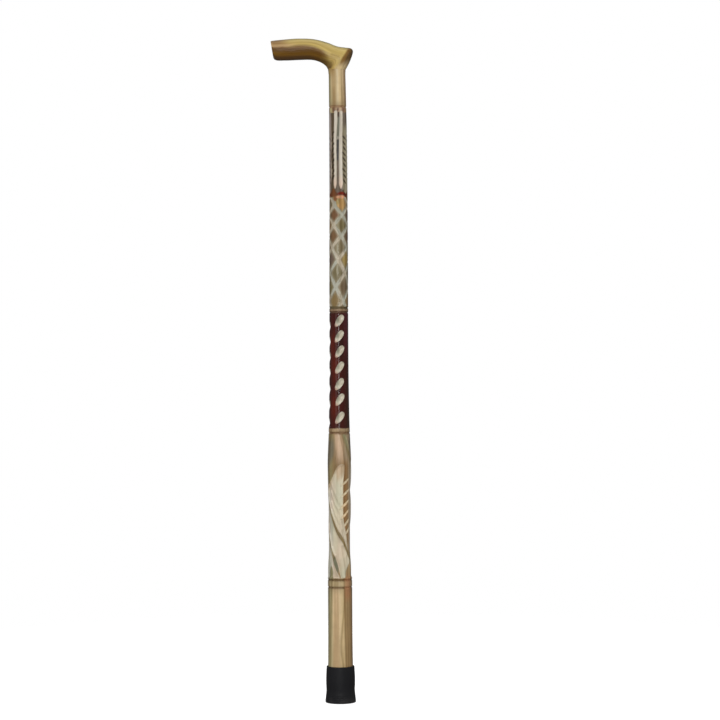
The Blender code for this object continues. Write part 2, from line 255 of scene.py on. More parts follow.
# Plain wood: pale, darker and olive towards the left and darker and redder towards the right, with
# a paler streak down the front of the neck and of the foot, partly a painted highlight. The brown
# grain line down the foot is a table of (height, turn)
PALE_WOOD = tint(208, 185, 143)
# The sides are darker: olive towards the left and redder towards the right
SIDE_TONES = (
    (0.75, -150, -48, 16, tint(170, 163, 122)),
    (0.7, 46, 150, 16, tint(172, 140, 108)),
)
NECK_HIGHLIGHT_AND_TONES = (
    # A paler streak down the front of the neck, partly pale grain and partly a painted highlight
    (0.5, -9, 9, 6, tint(222, 208, 172)),
    (0.55, -110, -50, 10, tint(134, 126, 86)),
)
LOWER_NECK_TOP = (0.824, 0.838)
LOWER_NECK_STAINS = (
    (0.6, -34, -13, 7, tint(172, 146, 102)),
    (0.4, 24, 60, 12, tint(166, 140, 100)),
)
JOINT_STAIN_FOOT = 0.8430
JOINT_STAIN = (0.65, -110, -18, 12, tint(174, 142, 80))
FOOT_HIGHLIGHT_AND_TONES = (
    # A paler streak down the front of the foot, partly a painted highlight
    (0.6, -34, -4, 10, tint(226, 196, 160)),
    (0.5, -110, -38, 8, tint(146, 144, 108)),
)
BROWN_HEART = tint(152, 124, 84)
GRAIN_LINE = (
    (0.0131, 18),
    (0.0495, 14),
    (0.0712, 5),
    (0.1000, 10),
    (0.1258, 19),
    (0.1559, 25),
)
GRAIN_LINE_REACH = (1.5, 6.0)
GRAIN_LINE_BROWN = tint(138, 112, 66)
ground[:] = PALE_WOOD
bare[:] = PALE_WOOD
uneven = wobble(3, 6)
stain_sectors(1, 10 * uneven, *SIDE_TONES)
neck_wood = level_zone(NECK_RING, JOINT_HEIGHT + 0.01)
stain_sectors(neck_wood, 0, *NECK_HIGHLIGHT_AND_TONES)
stain_sectors(neck_wood * fall_between(height, *LOWER_NECK_TOP), 0, *LOWER_NECK_STAINS)
stain_sectors(rise_between(height, JOINT_STAIN_FOOT, JOINT_HEIGHT), 0, JOINT_STAIN)
foot_wood = level_zone(0, FOOT_RINGS[1])
stain_sectors(foot_wood, 0, (0.85, 20 + 6 * uneven, 140, 13, BROWN_HEART), *FOOT_HIGHLIGHT_AND_TONES)
off_grain_line = abs(np.degrees(angle) - smooth_through(GRAIN_LINE, rows))
lay(ground, 0.5 * foot_wood * fall_between(off_grain_line, *GRAIN_LINE_REACH), GRAIN_LINE_BROWN)

# Fluted band: three pairs of long flutes, round at the top and pointed at the foot, and between the
# pairs dark panels crossed by short slanting gouges. A flute's rows are (height, turn, half width)
FLUTE_PAIR_TURNS = (120, 240, 0)
FLUTES = (
    (
        (0.6900, -22.0, 0.0022),
        (0.7020, -21.0, 0.0022),
        (0.7290, -19.0, 0.0019),
        (0.7480, -20.5, 0.0021),
        (0.7630, -19.5, 0.0022),
        (0.7850, -14.5, 0.0024),
        (0.8070, -12.5, 0.0024),
    ),
    (
        (0.6900, 16.5, 0.0029),
        (0.7020, 16.5, 0.0028),
        (0.7290, 15.5, 0.0025),
        (0.7630, 18.0, 0.0024),
        (0.7850, 22.0, 0.0023),
        (0.8070, 24.5, 0.0023),
    ),
)
FLUTE_TOP = 0.8012
FLUTE_FOOT = 0.6940
FLUTE_POINT = 0.0065
FLUTE_SHARPNESS = 0.7
FLUTE_DEPTH = 0.0012
FLUTE_POINT_DEPTH = 0.35
FLUTE_LEAST = 0.001
FLUTE_WASH = tint(216, 208, 195)
FLUTE_FEET_PINK = tint(230, 200, 180)
FLUTE_FEET = (0.690, 0.709, 0.008)
FLUTE_FEET_TURNS = (-32, 30, 2)
PANEL_FOOT, PANEL_TOP = 0.6845, 0.7982
PANEL_TOP_WANDER = 0.0006
PANEL_SOFTNESS = 0.0005
PANEL_BROWN = tint(108, 96, 88)
PANEL_STAINS = (
    (1, 28, 92, 4, tint(124, 112, 100)),
    (1, -96, -48, 8, tint(156, 142, 136)),
)
LOWER_PANEL_TOP = (0.772, 0.786)
LOWER_PANEL_STAINS = (
    (1, 28, 92, 4, tint(148, 139, 116)),
    (0.9, 52, 92, 8, tint(200, 193, 170)),
)
COLLAR_FOOT = 0.7988
COLLAR_STAIN = (1, -28, 44, 4, tint(190, 166, 140))
COLLAR_DAB = (2, 0.8018, 5, 0.0024, 0.5)
COLLAR_BROWN = tint(104, 70, 56)
CORNER_LEVELS = (0.7985, 0.8066, 0.0016)
CORNER_BROWN = tint(112, 70, 56)
CORNER_STAINS = (
    (0.8, -39, -19, 6, CORNER_BROWN),
    (0.8, 32, 52, 6, CORNER_BROWN),
)
FLUTE_RIDGE_TURNS = (-16, 16, 3)
FLUTE_RIDGE_SOFTNESS = 0.0015
# The ridge inside a pair of flutes is stained in stretches, as (low, high, colour)
FLUTE_RIDGE_TONES = (
    (0.6845, 0.7330, tint(116, 102, 90)),
    (0.7330, 0.7610, tint(66, 64, 66)),
    (0.7655, 0.7920, tint(118, 120, 108)),
    (0.7920, 0.8030, tint(84, 66, 54)),
)
# A slanting gouge is (turn, rise from its level, length, width, lean, colour of its bare wood)
SLANT_GOUGE_LEVELS = np.arange(0.7045, 0.7645, 0.0074)
RIGHT_GOUGE = (45, 0.0, 0.0092, 0.0026, -46, tint(62, 50, 34))
LEFT_GOUGE = (-37, 0.0055, 0.0082, 0.0028, 30, tint(58, 44, 26))
SLANT_GOUGE_DEPTH = 0.0007
SLANT_GOUGE_POINT = 1.3
NICK = (-3, 0.7635, 0.0046, 0.0050, 8)
NICK_DEPTH = 0.0004
NICK_WASH = tint(160, 156, 144)
uneven = wobble(11, 30)
panel = level_zone(PANEL_FOOT, PANEL_TOP + PANEL_TOP_WANDER * uneven, PANEL_SOFTNESS)
lower_panel = panel * fall_between(height, *LOWER_PANEL_TOP)
left_panel_stain = (1, -50 + 4 * uneven, -20, 4, tint(98, 84, 66))
lay(ground, panel, PANEL_BROWN)
for pair_turn in FLUTE_PAIR_TURNS:
    stain_sectors(panel, pair_turn, *PANEL_STAINS, left_panel_stain)
    stain_sectors(lower_panel, pair_turn, *LOWER_PANEL_STAINS)
    for low, high, tone in FLUTE_RIDGE_TONES:
        ridge = level_zone(low, high, FLUTE_RIDGE_SOFTNESS)
        stain_sectors(ridge, pair_turn, (1, *FLUTE_RIDGE_TURNS, tone))
    stain_sectors(level_zone(COLLAR_FOOT, NECK_RING), pair_turn, COLLAR_STAIN)
    lay(ground, brushed(*moved(pair_turn, 0, COLLAR_DAB)), COLLAR_BROWN)
    stain_sectors(level_zone(*CORNER_LEVELS), pair_turn, *CORNER_STAINS)
    for flute in FLUTES:
        course = smooth_through(flute, rows)
        half_width = course[:, 1:]
        round_top = np.sqrt(np.clip((FLUTE_TOP - height) / half_width, FLUTE_LEAST, 1))
        point = np.clip((height - FLUTE_FOOT) / FLUTE_POINT, FLUTE_LEAST, 1) ** FLUTE_SHARPNESS
        depth_share = FLUTE_POINT_DEPTH + (1 - FLUTE_POINT_DEPTH) * point
        aside = uncut * turn_from(course[:, :1] + pair_turn)
        share = gouge(aside, half_width * round_top * point) * depth_share
        share = np.where((height > FLUTE_TOP) | (height < FLUTE_FOOT), -1, share)
        carve(share, FLUTE_DEPTH * depth_share, FLUTE_WASH)
    flute_feet = level_zone(*FLUTE_FEET) * sector(pair_turn, *FLUTE_FEET_TURNS)
    lay(bare, 0.6 * flute_feet, FLUTE_FEET_PINK)
    carve(scoop_out(*moved(pair_turn, 0, NICK)), NICK_DEPTH, NICK_WASH)
    for step, level in enumerate(SLANT_GOUGE_LEVELS):
        for turn, raised, length, width, lean, wash in (LEFT_GOUGE, RIGHT_GOUGE):
            turn = pair_turn + turn + 2 * math.sin(2.4 * step)
            lean = lean + 3 * math.cos(1.9 * step)
            share = scoop_out(turn, level + raised, length, width, lean, foot=SLANT_GOUGE_POINT)
            carve(share, SLANT_GOUGE_DEPTH, wash)

# Foot of the fluted band: a brown lozenge on one side and a red band with a notch on the other. The
# band's edges are (turn, height, drop, reach of the drop in degrees)
LOZENGE_TURN, LOZENGE_HALF_TURN = -34, 34
LOZENGE_LEVEL, LOZENGE_HALF_HEIGHT = 0.6868, 0.0088
LOZENGE_BROWN = tint(114, 68, 36)
RED_BAND_TOP = (22, 0.6907, 0.0022, 30)
RED_BAND_FOOT = (15, 0.6863, 0.0026, 35)
RED_BAND_TURNS = (-6, 60, 3)
RED_BAND_SOFTNESS = 0.0004
RED_BAND_STAIN = tint(128, 38, 14)
DARK_RED_STAIN = (1, 36, 70, 8, tint(92, 28, 16))
NOTCH_DAB = (31, 0.6912, 6, 0.0024, 0.4)
NOTCH_STAIN = tint(62, 58, 40)


def arch(turn, level, drop, reach):
    """Height of a line that is highest at a turn and drops away over reach degrees beside it."""
    return level - drop * (np.degrees(turn_from(turn)) / reach) ** 2


for pair_turn in FLUTE_PAIR_TURNS:
    aside = abs(np.degrees(turn_from(pair_turn + LOZENGE_TURN)) / LOZENGE_HALF_TURN)
    lozenge = aside + abs(height - LOZENGE_LEVEL) / LOZENGE_HALF_HEIGHT
    lay(ground, fall_between(lozenge, 0.92, 1.08), LOZENGE_BROWN)
    red_top = arch(*moved(pair_turn, 0, RED_BAND_TOP))
    red_foot = arch(*moved(pair_turn, 0, RED_BAND_FOOT))
    red = level_zone(red_foot, red_top, RED_BAND_SOFTNESS) * sector(pair_turn, *RED_BAND_TURNS)
    lay(ground, brushed(*moved(pair_turn, 0, NOTCH_DAB)), NOTCH_STAIN)
    lay(ground, red, RED_BAND_STAIN)
    stain_sectors(red, pair_turn, DARK_RED_STAIN)
    cut_share[:] = np.where(red > 0.5, np.minimum(cut_share, -0.2), cut_share)

# Lattice band: four grooves wind each way and leave diamonds, each dabbed with its own stain. Each
# table gives the height at which every next groove passes the front
LATTICE_TOP = 0.6835
LATTICE_FOOT = 0.5350
LATTICE_STARTS = 4
FALLING_GROOVES = (
    (0.5150, 3.90),
    (0.5560, 2.95),
    (0.5996, 1.96),
    (0.6368, 0.97),
    (0.6660, -0.02),
    (0.7000, -1.10),
)
RISING_GROOVES = (
    (0.5150, 4.60),
    (0.5340, 4.00),
    (0.5675, 3.00),
    (0.5996, 2.00),
    (0.6265, 1.00),
    (0.6524, 0.03),
    (0.6785, -0.97),
    (0.7000, -1.90),
)
FRONT_SPACING = 0.14
LATTICE_LEAN = math.radians(33)
LATTICE_HALF_WIDTH = 0.0020
LATTICE_DEPTH = 0.0009
LATTICE_UNEVENNESS = 0.12
LATTICE_SOFTNESS = 0.0008
LATTICE_FLANK = (0.0016, 0.0050)
LATTICE_GROUND = tint(124, 112, 84)
FLANK_TONE = tint(150, 141, 118)
GREENISH_WASH = tint(176, 175, 160)
BEIGE_WASH = tint(188, 177, 157)
DIAMOND_STAINS = (
    tint(112, 86, 58),
    tint(118, 108, 74),
    tint(146, 116, 74),
    tint(108, 92, 80),
    tint(126, 114, 88),
)
# A front diamond has its own stain, by the grooves that it lies past and the falling groove over it
FRONT_DIAMONDS = {
    (-2, 3): tint(176, 142, 92),
    (-1, 0): tint(112, 80, 54),
    (0, 0): tint(122, 112, 78),
    (1, 1): tint(116, 88, 60),
    (1, 0): tint(112, 90, 70),
    (2, 1): tint(128, 116, 88),
    (3, 1): tint(158, 136, 82),
    (4, 2): tint(118, 108, 78),
    (5, 2): tint(122, 104, 80),
    (6, 3): tint(138, 116, 76),
}
# Painted highlights on two front diamonds are (turn, height, half turn, half height, softness)
DIAMOND_HIGHLIGHTS = (
    (-7, 0.6125, 5, 0.0085, 0.5),
    (-8, 0.5845, 4, 0.0090, 0.5),
)
DIAMOND_HIGHLIGHT_TONE = tint(166, 160, 138)
AMBER_PATCH = (15, 0.6757, 27, 0.0082, 0.25)
UNCUT_PATCH = (-4, 0.6790, 15, 0.0056, 0.3)
LATTICE_TOP_STAINS = (
    (AMBER_PATCH, tint(184, 146, 92)),
    (UNCUT_PATCH, tint(160, 138, 84)),
    ((-20, 0.6812, 12, 0.0036, 0.3), tint(128, 84, 50)),
    ((15, 0.6834, 28, 0.0021, 0.3), tint(224, 162, 122)),
)
lattice = level_zone(LATTICE_FOOT, LATTICE_TOP, LATTICE_SOFTNESS)
step_angle = FULL_TURN / LATTICE_STARTS
turned = (angle - FRONT_SPACING * np.sin(angle)) / step_angle
falling = smooth_through(FALLING_GROOVES, rows) - turned
rising = smooth_through(RISING_GROOVES, rows) + turned
over, under = np.floor(falling).astype(int), np.floor(rising).astype(int)
passed, start = over + under, over % LATTICE_STARTS
lay(ground, lattice, LATTICE_GROUND)
for diamond in sorted(set(zip(passed.ravel().tolist(), start.ravel().tolist()))):
    stain = DIAMOND_STAINS[(3 * diamond[0] + 2 * diamond[1]) % len(DIAMOND_STAINS)]
    stain = FRONT_DIAMONDS.get(diamond, stain)
    lay(ground, lattice * ((passed == diamond[0]) & (start == diamond[1])), stain)
# Lays the painted highlights on the two diamonds
for diamond_highlight in DIAMOND_HIGHLIGHTS:
    lay(ground, 0.8 * brushed(*diamond_highlight), DIAMOND_HIGHLIGHT_TONE)
green_share = rise_between(wobble(21, 18), -0.5, 0.5)[..., None]
groove_wash = GREENISH_WASH * green_share + BEIGE_WASH * (1 - green_share)
uneven = 1 + LATTICE_UNEVENNESS * wobble(5, 45, 4)
in_lattice = lattice > 0.5
for wound in (falling, rising):
    aside = (wound - np.round(wound)) * step_angle * uncut * math.cos(LATTICE_LEAN)
    lay(ground, 0.8 * fall_between(abs(aside), *LATTICE_FLANK) * in_lattice, FLANK_TONE)
    share = gouge(aside, LATTICE_HALF_WIDTH * uneven)
    carve(np.where(in_lattice, share, -1), LATTICE_DEPTH, groove_wash)
for patch, stain in LATTICE_TOP_STAINS:
    lay(ground, brushed(*patch), stain)
for patch in (AMBER_PATCH, UNCUT_PATCH):
    cut_share -= 0.9 * brushed(*patch)
    deepest *= 1 - brushed(*patch)

# Scooped band: glossy dark red lacquer with painted glints, cut through to the pale wood by three
# columns of scoops, each with painted shade on its upper wall. A column is (turn, drop from the
# levels), and a dab on a scoop is (turn, height, half turn, half height, softness) from its middle
SCOOP_LEVELS = (0.5156, 0.4944, 0.4740, 0.4522, 0.4299, 0.4090, 0.3846)
SCOOP_COLUMNS = ((3, 0.0), (122, 0.0050), (267, 0.0085))
SCOOP_LENGTH = 0.0188
SCOOP_WIDTH = 0.0088
SIDE_SCOOP_SWELL = 1.25
SCOOP_LEAN = 34
SCOOP_POINTS = (0.75, 1.2)
SCOOP_DEPTH = 0.0020
SCOOP_WASH = tint(206, 200, 182)
SCOOP_TIP = (-25, -0.0080, 13, 0.0040, 0.6)
TIP_PINK = tint(208, 158, 140)
# Painted shade on each scoop's upper wall, grey olive
SCOOP_WALL_SHADE = (-11, 0.0030, 10, 0.0064, 0.7)
SCOOP_WALL_SHADE_TONE = tint(124, 124, 104)
LACQUER_FOOT = 0.3705
LACQUER_FOOT_WANDER = 0.0004
LACQUER_TOP = 0.5269
PALE_RING_TOP = 0.3703
LACQUER_RED = tint(66, 24, 18)
LACQUER_STREAK = tint(46, 22, 17)
# Painted glints: brighter red dabs on the lacquer, at (turn, height)
LACQUER_GLINTS = ((-24, 0.4520), (-30, 0.4000), (-50, 0.4900), (150, 0.4300))
GLINT_SIZE = (24, 0.0180, 0.9)
GLINT_RED = tint(100, 32, 16)
PURPLE_RISE = (0.455, 0.49)
PURPLE_STAIN = (0.8, 35, 120, 20, tint(84, 34, 40))
BROWN_FALL = (0.42, 0.46)
BROWN_STAIN = (0.7, 40, 130, 20, tint(58, 36, 22))
UPPER_PALE_RING = tint(150, 126, 100)
LOWER_PALE_RING = tint(168, 144, 112)
lacquer[:] = level_zone(LACQUER_FOOT + LACQUER_FOOT_WANDER * wobble(31, 3), LACQUER_TOP)
lay(ground, lacquer, LACQUER_RED)
# Lays the painted glints
for turn, level in LACQUER_GLINTS:
    lay(ground, 0.8 * lacquer * brushed(turn, level, *GLINT_SIZE), GLINT_RED)
lay(ground, 0.7 * lacquer * rise_between(wobble(8, 22), 0.1, 1.2), LACQUER_STREAK)
stain_sectors(lacquer * rise_between(height, *PURPLE_RISE), 0, PURPLE_STAIN)
stain_sectors(lacquer * fall_between(height, *BROWN_FALL), 0, BROWN_STAIN)
for column_turn, drop in SCOOP_COLUMNS:
    swell = 1 if column_turn < 90 else SIDE_SCOOP_SWELL
    for number, level in enumerate(SCOOP_LEVELS):
        middle = (column_turn + 1.5 * math.sin(2.1 * number + column_turn), level - drop)
        share = scoop_out(*middle, SCOOP_LENGTH, SCOOP_WIDTH * swell, SCOOP_LEAN, *SCOOP_POINTS)
        carve(share, SCOOP_DEPTH * swell, SCOOP_WASH)
        # Painted shade on the upper wall, stronger on the upper three scoops
        wall_shade_strength = 0.85 if number < 3 else 0.6
        for strength, dab, tone in ((0.7, SCOOP_TIP, TIP_PINK), (wall_shade_strength, SCOOP_WALL_SHADE, SCOOP_WALL_SHADE_TONE)):
            lay(bare, strength * brushed(*moved(*middle, dab)) * lacquer, tone)
lay(ground, level_zone(LACQUER_RING, LATTICE_RING), UPPER_PALE_RING)
lay(ground, level_zone(LEAF_BAND_RING, PALE_RING_TOP), LOWER_PALE_RING)

# Palm-leaf band: the shaft is pared a little slimmer here, then two leaves are carved, the second on
# the back and raised. Each has a pale blade of long barbs, parted by low ridges that sweep down to a
# slowly turning spine, and short nicks on the spine's right
PARED = (
    (FOOT_RINGS[0], 0.0),
    (0.1860, 0.0002),
    (0.2000, 0.0011),
    (0.2300, 0.0015),
    (0.2800, 0.0014),
    (0.3100, 0.0007),
    (0.3300, 0.0),
    (LEAF_BAND_RING, 0.0),
)
LEAVES = ((0, 0.0), (165, 0.035))
LEAF_FOOT = 0.1682
LEAF_BAND_MARGIN = 0.0030
BLADE_LEFT = -100
BLADE_RIGHT = 95
# The spine's turn at each height, then the heights of lines at each turn
SPINE_BORDER = (
    (0.1500, 50),
    (0.1700, 53),
    (0.1848, 55),
    (0.2026, 48),
    (0.2285, 34),
    (0.2461, 21),
    (0.2731, 18),
    (0.3001, 20),
    (0.3120, 25),
    (0.3218, 26),
    (0.3370, 20),
    (0.3700, 10),
)
BLADE_TOP = (
    (-130, 0.2820),
    (-100, 0.2880),
    (-73, 0.2940),
    (-50, 0.2995),
    (-30, 0.3090),
    (-14, 0.3175),
    (0, 0.3215),
    (14, 0.3225),
    (30, 0.3210),
    (90, 0.3190),
)
BLADE_DEPTH = 0.0014
BLADE_EDGE = 0.0042
BLADE_FADE = 0.0110
LONG_RIDGE = (
    (-130, 0.3150),
    (-90, 0.2860),
    (-60, 0.2630),
    (-33, 0.2440),
    (-20, 0.2360),
    (-5, 0.2280),
    (13, 0.2212),
    (25, 0.2145),
    (35, 0.2080),
    (47, 0.2010),
    (60, 0.1930),
)
LOW_RIDGE = (
    (-130, 0.2760),
    (-90, 0.2400),
    (-70, 0.2230),
    (-47, 0.2054),
    (-26, 0.1922),
    (-11, 0.1815),
    (-3, 0.1748),
    (8, 0.1620),
    (60, 0.1400),
)
RIDGE_HALF_WIDTH = 0.0016
RIDGE_FLANK = 0.0036
RIDGE_LEAN = math.radians(24)
FAINT_RIDGE_RISES = (0.016, 0.030, 0.043)
FAINT_RIDGE_SHARE = 0.72
# A short barb is (turn, height, length, lean)
SHORT_BARBS = (
    (33, 0.2985, 0.0165, 52),
    (33, 0.2835, 0.0195, 52),
    (31, 0.2685, 0.0195, 50),
    (32, 0.2550, 0.0185, 46),
    (37, 0.2430, 0.0155, 42),
    (45, 0.2325, 0.0120, 38),
)
SHORT_BARB_WIDTH = 0.0034
SHORT_BARB_DEPTH = 0.0010
SLIVER = (-125, 0.3190, 0.030, 0.0050, -20)
BARB_EDGE = tint(170, 150, 114)
BARB_MIDDLE = tint(222, 198, 160)
BARB_WASH = tint(220, 194, 156)
SLIVER_WASH = tint(156, 150, 114)
BLADE_PALE = tint(214, 202, 176)
BLADE_TOP_TONE = tint(190, 164, 130)
# The blade and its ground are paler on the left side, below the blade's top, partly painted light
PALE_LEFT_SIDE = (-105, -42, 14)
PALE_SIDE_FADE = 0.02
LEFT_SIDE_PALE = tint(232, 230, 220)
LEFT_SIDE_GROUND = tint(196, 192, 176)
LEAF_RIDGE_REACH = (0.0040, 0.0100)
LEAF_RIDGE_TONE = tint(142, 126, 88)
GREY_RIDGE = (-20, 0.1860, 16, 0.0150, 0.4)
GREY_RIDGE_TONE = tint(122, 121, 98)
LEAF_GROUND = tint(158, 132, 96)
LEAF_BAND_STAINS = (
    (0.9, 16, 130, 10, tint(148, 114, 74)),
    (0.85, 47, 130, 8, tint(176, 158, 132)),
    (0.8, -130, -34, 14, tint(146, 136, 98)),
)
CROWN_RISE = (0.318, 0.334)
CROWN_STAIN = (1, -22, 22, 7, tint(192, 164, 136))
CROWN_SIDE_STAIN = (0.8, 22, 80, 6, tint(166, 148, 122))
FACET_FOOT, FACET_TOP = 0.3339, 0.3560
FACET_SLANT, FACET_SLANT_TURN = 0.0004, -25
FACET_SOFTNESS = 0.0070
FACET_STAIN = (0.9, -110, -26, 12, tint(122, 115, 98))
LEAF_GREEN = tint(192, 196, 172)
LEAF_PINK = tint(212, 182, 164)
UNCUT_FEET = (
    ((52, 0.1745, 26, 0.0125, 0.45), tint(160, 136, 98)),
    ((-50, 0.1745, 15, 0.0125, 0.45), tint(150, 144, 110)),
)


def hollow(distance, reach):
    """Depth share at a distance inside a hollow's edge, where it is full deep from reach on."""
    inside = np.clip(distance / reach, -1, 1)
    return np.where(inside > 0, inside * (2 - inside), inside)


leaf_band = level_zone(FOOT_RINGS[0], LEAF_BAND_RING)
lay(ground, leaf_band, LEAF_GROUND)
stain_sectors(leaf_band, 0, *LEAF_BAND_STAINS)
pared = smooth_through(PARED, rows)
pared = pared * ((rows > PARED[0][0]) & (rows < PARED[-1][0]))[:, None]
for leaf_turn, leaf_rise in LEAVES:
    off_leaf = np.degrees(turn_from(leaf_turn))
    crown = rise_between(height - leaf_rise, *CROWN_RISE) * leaf_band
    facet_foot = FACET_FOOT + leaf_rise + FACET_SLANT * (off_leaf - FACET_SLANT_TURN)
    stain_sectors(crown, leaf_turn, CROWN_STAIN)
    stain_sectors(level_zone(facet_foot, FACET_TOP, FACET_SOFTNESS), leaf_turn, FACET_STAIN)
    stain_sectors(crown, leaf_turn, CROWN_SIDE_STAIN)
    long_ridge, low_ridge, blade_top = (
        smooth_through(line, off_leaf[0])[:, 0] + leaf_rise for line in (LONG_RIDGE, LOW_RIDGE, BLADE_TOP)
    )
    beside_ridge = fall_between(abs(height - long_ridge), *LEAF_RIDGE_REACH)
    lay(ground, 0.85 * beside_ridge * leaf_band, LEAF_RIDGE_TONE)
    grey_ridge = brushed(*moved(leaf_turn, leaf_rise, GREY_RIDGE))
    lay(ground, grey_ridge * leaf_band, GREY_RIDGE_TONE)
    to_spine = uncut * np.radians(smooth_through(SPINE_BORDER, rows - leaf_rise) - off_leaf)
    to_top = (blade_top - height) * math.cos(RIDGE_LEAN)
    to_left = uncut * np.radians(off_leaf - BLADE_LEFT)
    to_ends = np.minimum(height - LEAF_FOOT, LEAF_BAND_RING - LEAF_BAND_MARGIN - height)
    blade = hollow(np.minimum.reduce((to_spine, to_top, to_left, to_ends + 0 * angle)), BLADE_EDGE)
    for line in (long_ridge, low_ridge):
        off_line = abs(height - line) * math.sin(RIDGE_LEAN)
        half_width = RIDGE_HALF_WIDTH * (1 + 0.7 * grey_ridge)
        blade = np.minimum(blade, hollow(off_line - half_width, RIDGE_FLANK))
    for rise in FAINT_RIDGE_RISES:
        off_line = abs(height - long_ridge - rise) * math.sin(RIDGE_LEAN)
        blade = np.minimum(blade, 1 - FAINT_RIDGE_SHARE * (1 - hollow(off_line, RIDGE_FLANK)))
    on_blade = off_leaf < BLADE_RIGHT
    carve(np.where(on_blade, blade, -1), BLADE_DEPTH, BLADE_PALE)
    fading = rise_between(height - blade_top, -BLADE_FADE, 0.0) * on_blade
    lay(bare, 0.75 * fading * leaf_band, BLADE_TOP_TONE)
    below_top = rise_between(blade_top - height, 0.0, PALE_SIDE_FADE) * leaf_band
    # Paler on the left side, partly painted light
    pale_left_side = sector(leaf_turn, *PALE_LEFT_SIDE) * below_top
    lay(bare, 0.6 * pale_left_side, LEFT_SIDE_PALE)
    lay(ground, 0.35 * pale_left_side, LEFT_SIDE_GROUND)
    for turn, level, length, lean in SHORT_BARBS:
        share = scoop_out(leaf_turn + turn, level + leaf_rise, length, SHORT_BARB_WIDTH, lean)
        carve(share, SHORT_BARB_DEPTH, BARB_WASH)
        lay(bare, np.clip(1.4 * share, 0, 0.7), BARB_MIDDLE)
        lay(bare, np.clip(1 - abs(share + 0.3) / 0.3, 0, 0.6), BARB_EDGE)
    carve(scoop_out(*moved(leaf_turn, leaf_rise, SLIVER)), SHORT_BARB_DEPTH, SLIVER_WASH)
lay(bare, 0.45 * leaf_band * rise_between(wobble(17, 26), -0.6, 0.9), LEAF_GREEN)
lay(bare, 0.3 * leaf_band * rise_between(wobble(19, 20), 0.0, 1.2), LEAF_PINK)
for patch, stain in UNCUT_FEET:
    cut_share -= 1.2 * brushed(*patch)
    lay(ground, brushed(*patch), stain)

# Ring grooves: turned last, with dark stain left in them and beside them
RING_STAINS = {
    NECK_RING: tint(158, 124, 92),
    LATTICE_RING: tint(72, 62, 36),
    LACQUER_RING: tint(66, 34, 24),
    LEAF_BAND_RING: tint(128, 100, 72),
    FOOT_RINGS[0]: tint(104, 82, 50),
    FOOT_RINGS[1]: tint(100, 76, 46),
}
RING_STAIN_REACH = (0.0008, 0.0030)
# The wood beside the rings is darkened, as (share, low, high, softness, colour)
RING_SIDE_STAINS = (
    (0.6, FOOT_RINGS[1] + 0.001, FOOT_RINGS[0] - 0.001, 0.0006, tint(164, 146, 112)),
    (0.35, 0.1480, FOOT_RINGS[1], 0.0050, tint(140, 122, 92)),
    (0.35, NECK_RING, 0.8125, 0.0030, tint(150, 128, 96)),
)
RED_PATCH_LEVELS = (0.140, 0.172, 0.008)
RED_PATCH = (0.6, 24, 60, 9, tint(180, 122, 84))
for ring, stain in RING_STAINS.items():
    groove = fall_between(abs(height - ring), *RING_STAIN_REACH)
    lay(ground, 0.85 * groove, stain)
    cut_share -= 1.5 * groove
for share, low, high, soft, stain in RING_SIDE_STAINS:
    lay(ground, share * level_zone(low, high, soft), stain)
stain_sectors(level_zone(*RED_PATCH_LEVELS), 0, RED_PATCH)
ring_share = np.max([gouge(height - ring, RING_HALF_WIDTH) for ring in RING_HEIGHTS], axis=0)
np.maximum(deepest, RING_DEPTH * np.clip(ring_share, 0, 1), out=deepest)
np.clip(cut_share, -1, 1, out=cut_share)

kept = uncut - deepest - pared
flare = ((height - NECK_FLARE_FROM) / (JOINT_HEIGHT - NECK_FLARE_FROM)).clip(0, 1) ** NECK_FLARE_CURVE
kept = kept + flare * neck_flare(angle)
bow = smooth_through(SHAFT_BEND, rows)
outside = np.stack(
    (kept * np.sin(angle) + bow, -kept * np.cos(angle), np.broadcast_to(height, carved_shape)), -1
)


def ring_of_points(radius, level, sides):
    """Points of a level ring, walked from the front round by the right."""
    turns = FULL_TURN * np.arange(sides) / sides
    return np.stack((radius * np.sin(turns), -radius * np.cos(turns), np.full(sides, level)), -1)


MAP_MARGIN = 0.004


def on_map(across, up, column, strips):
    """Places on the map for baking, from their shares across and up a column of its strips."""
    share = 1 - 2 * MAP_MARGIN
    places = ((column + MAP_MARGIN + share * across) / strips, MAP_MARGIN + share * up)
    return np.stack(places, -1).reshape(-1, 2)


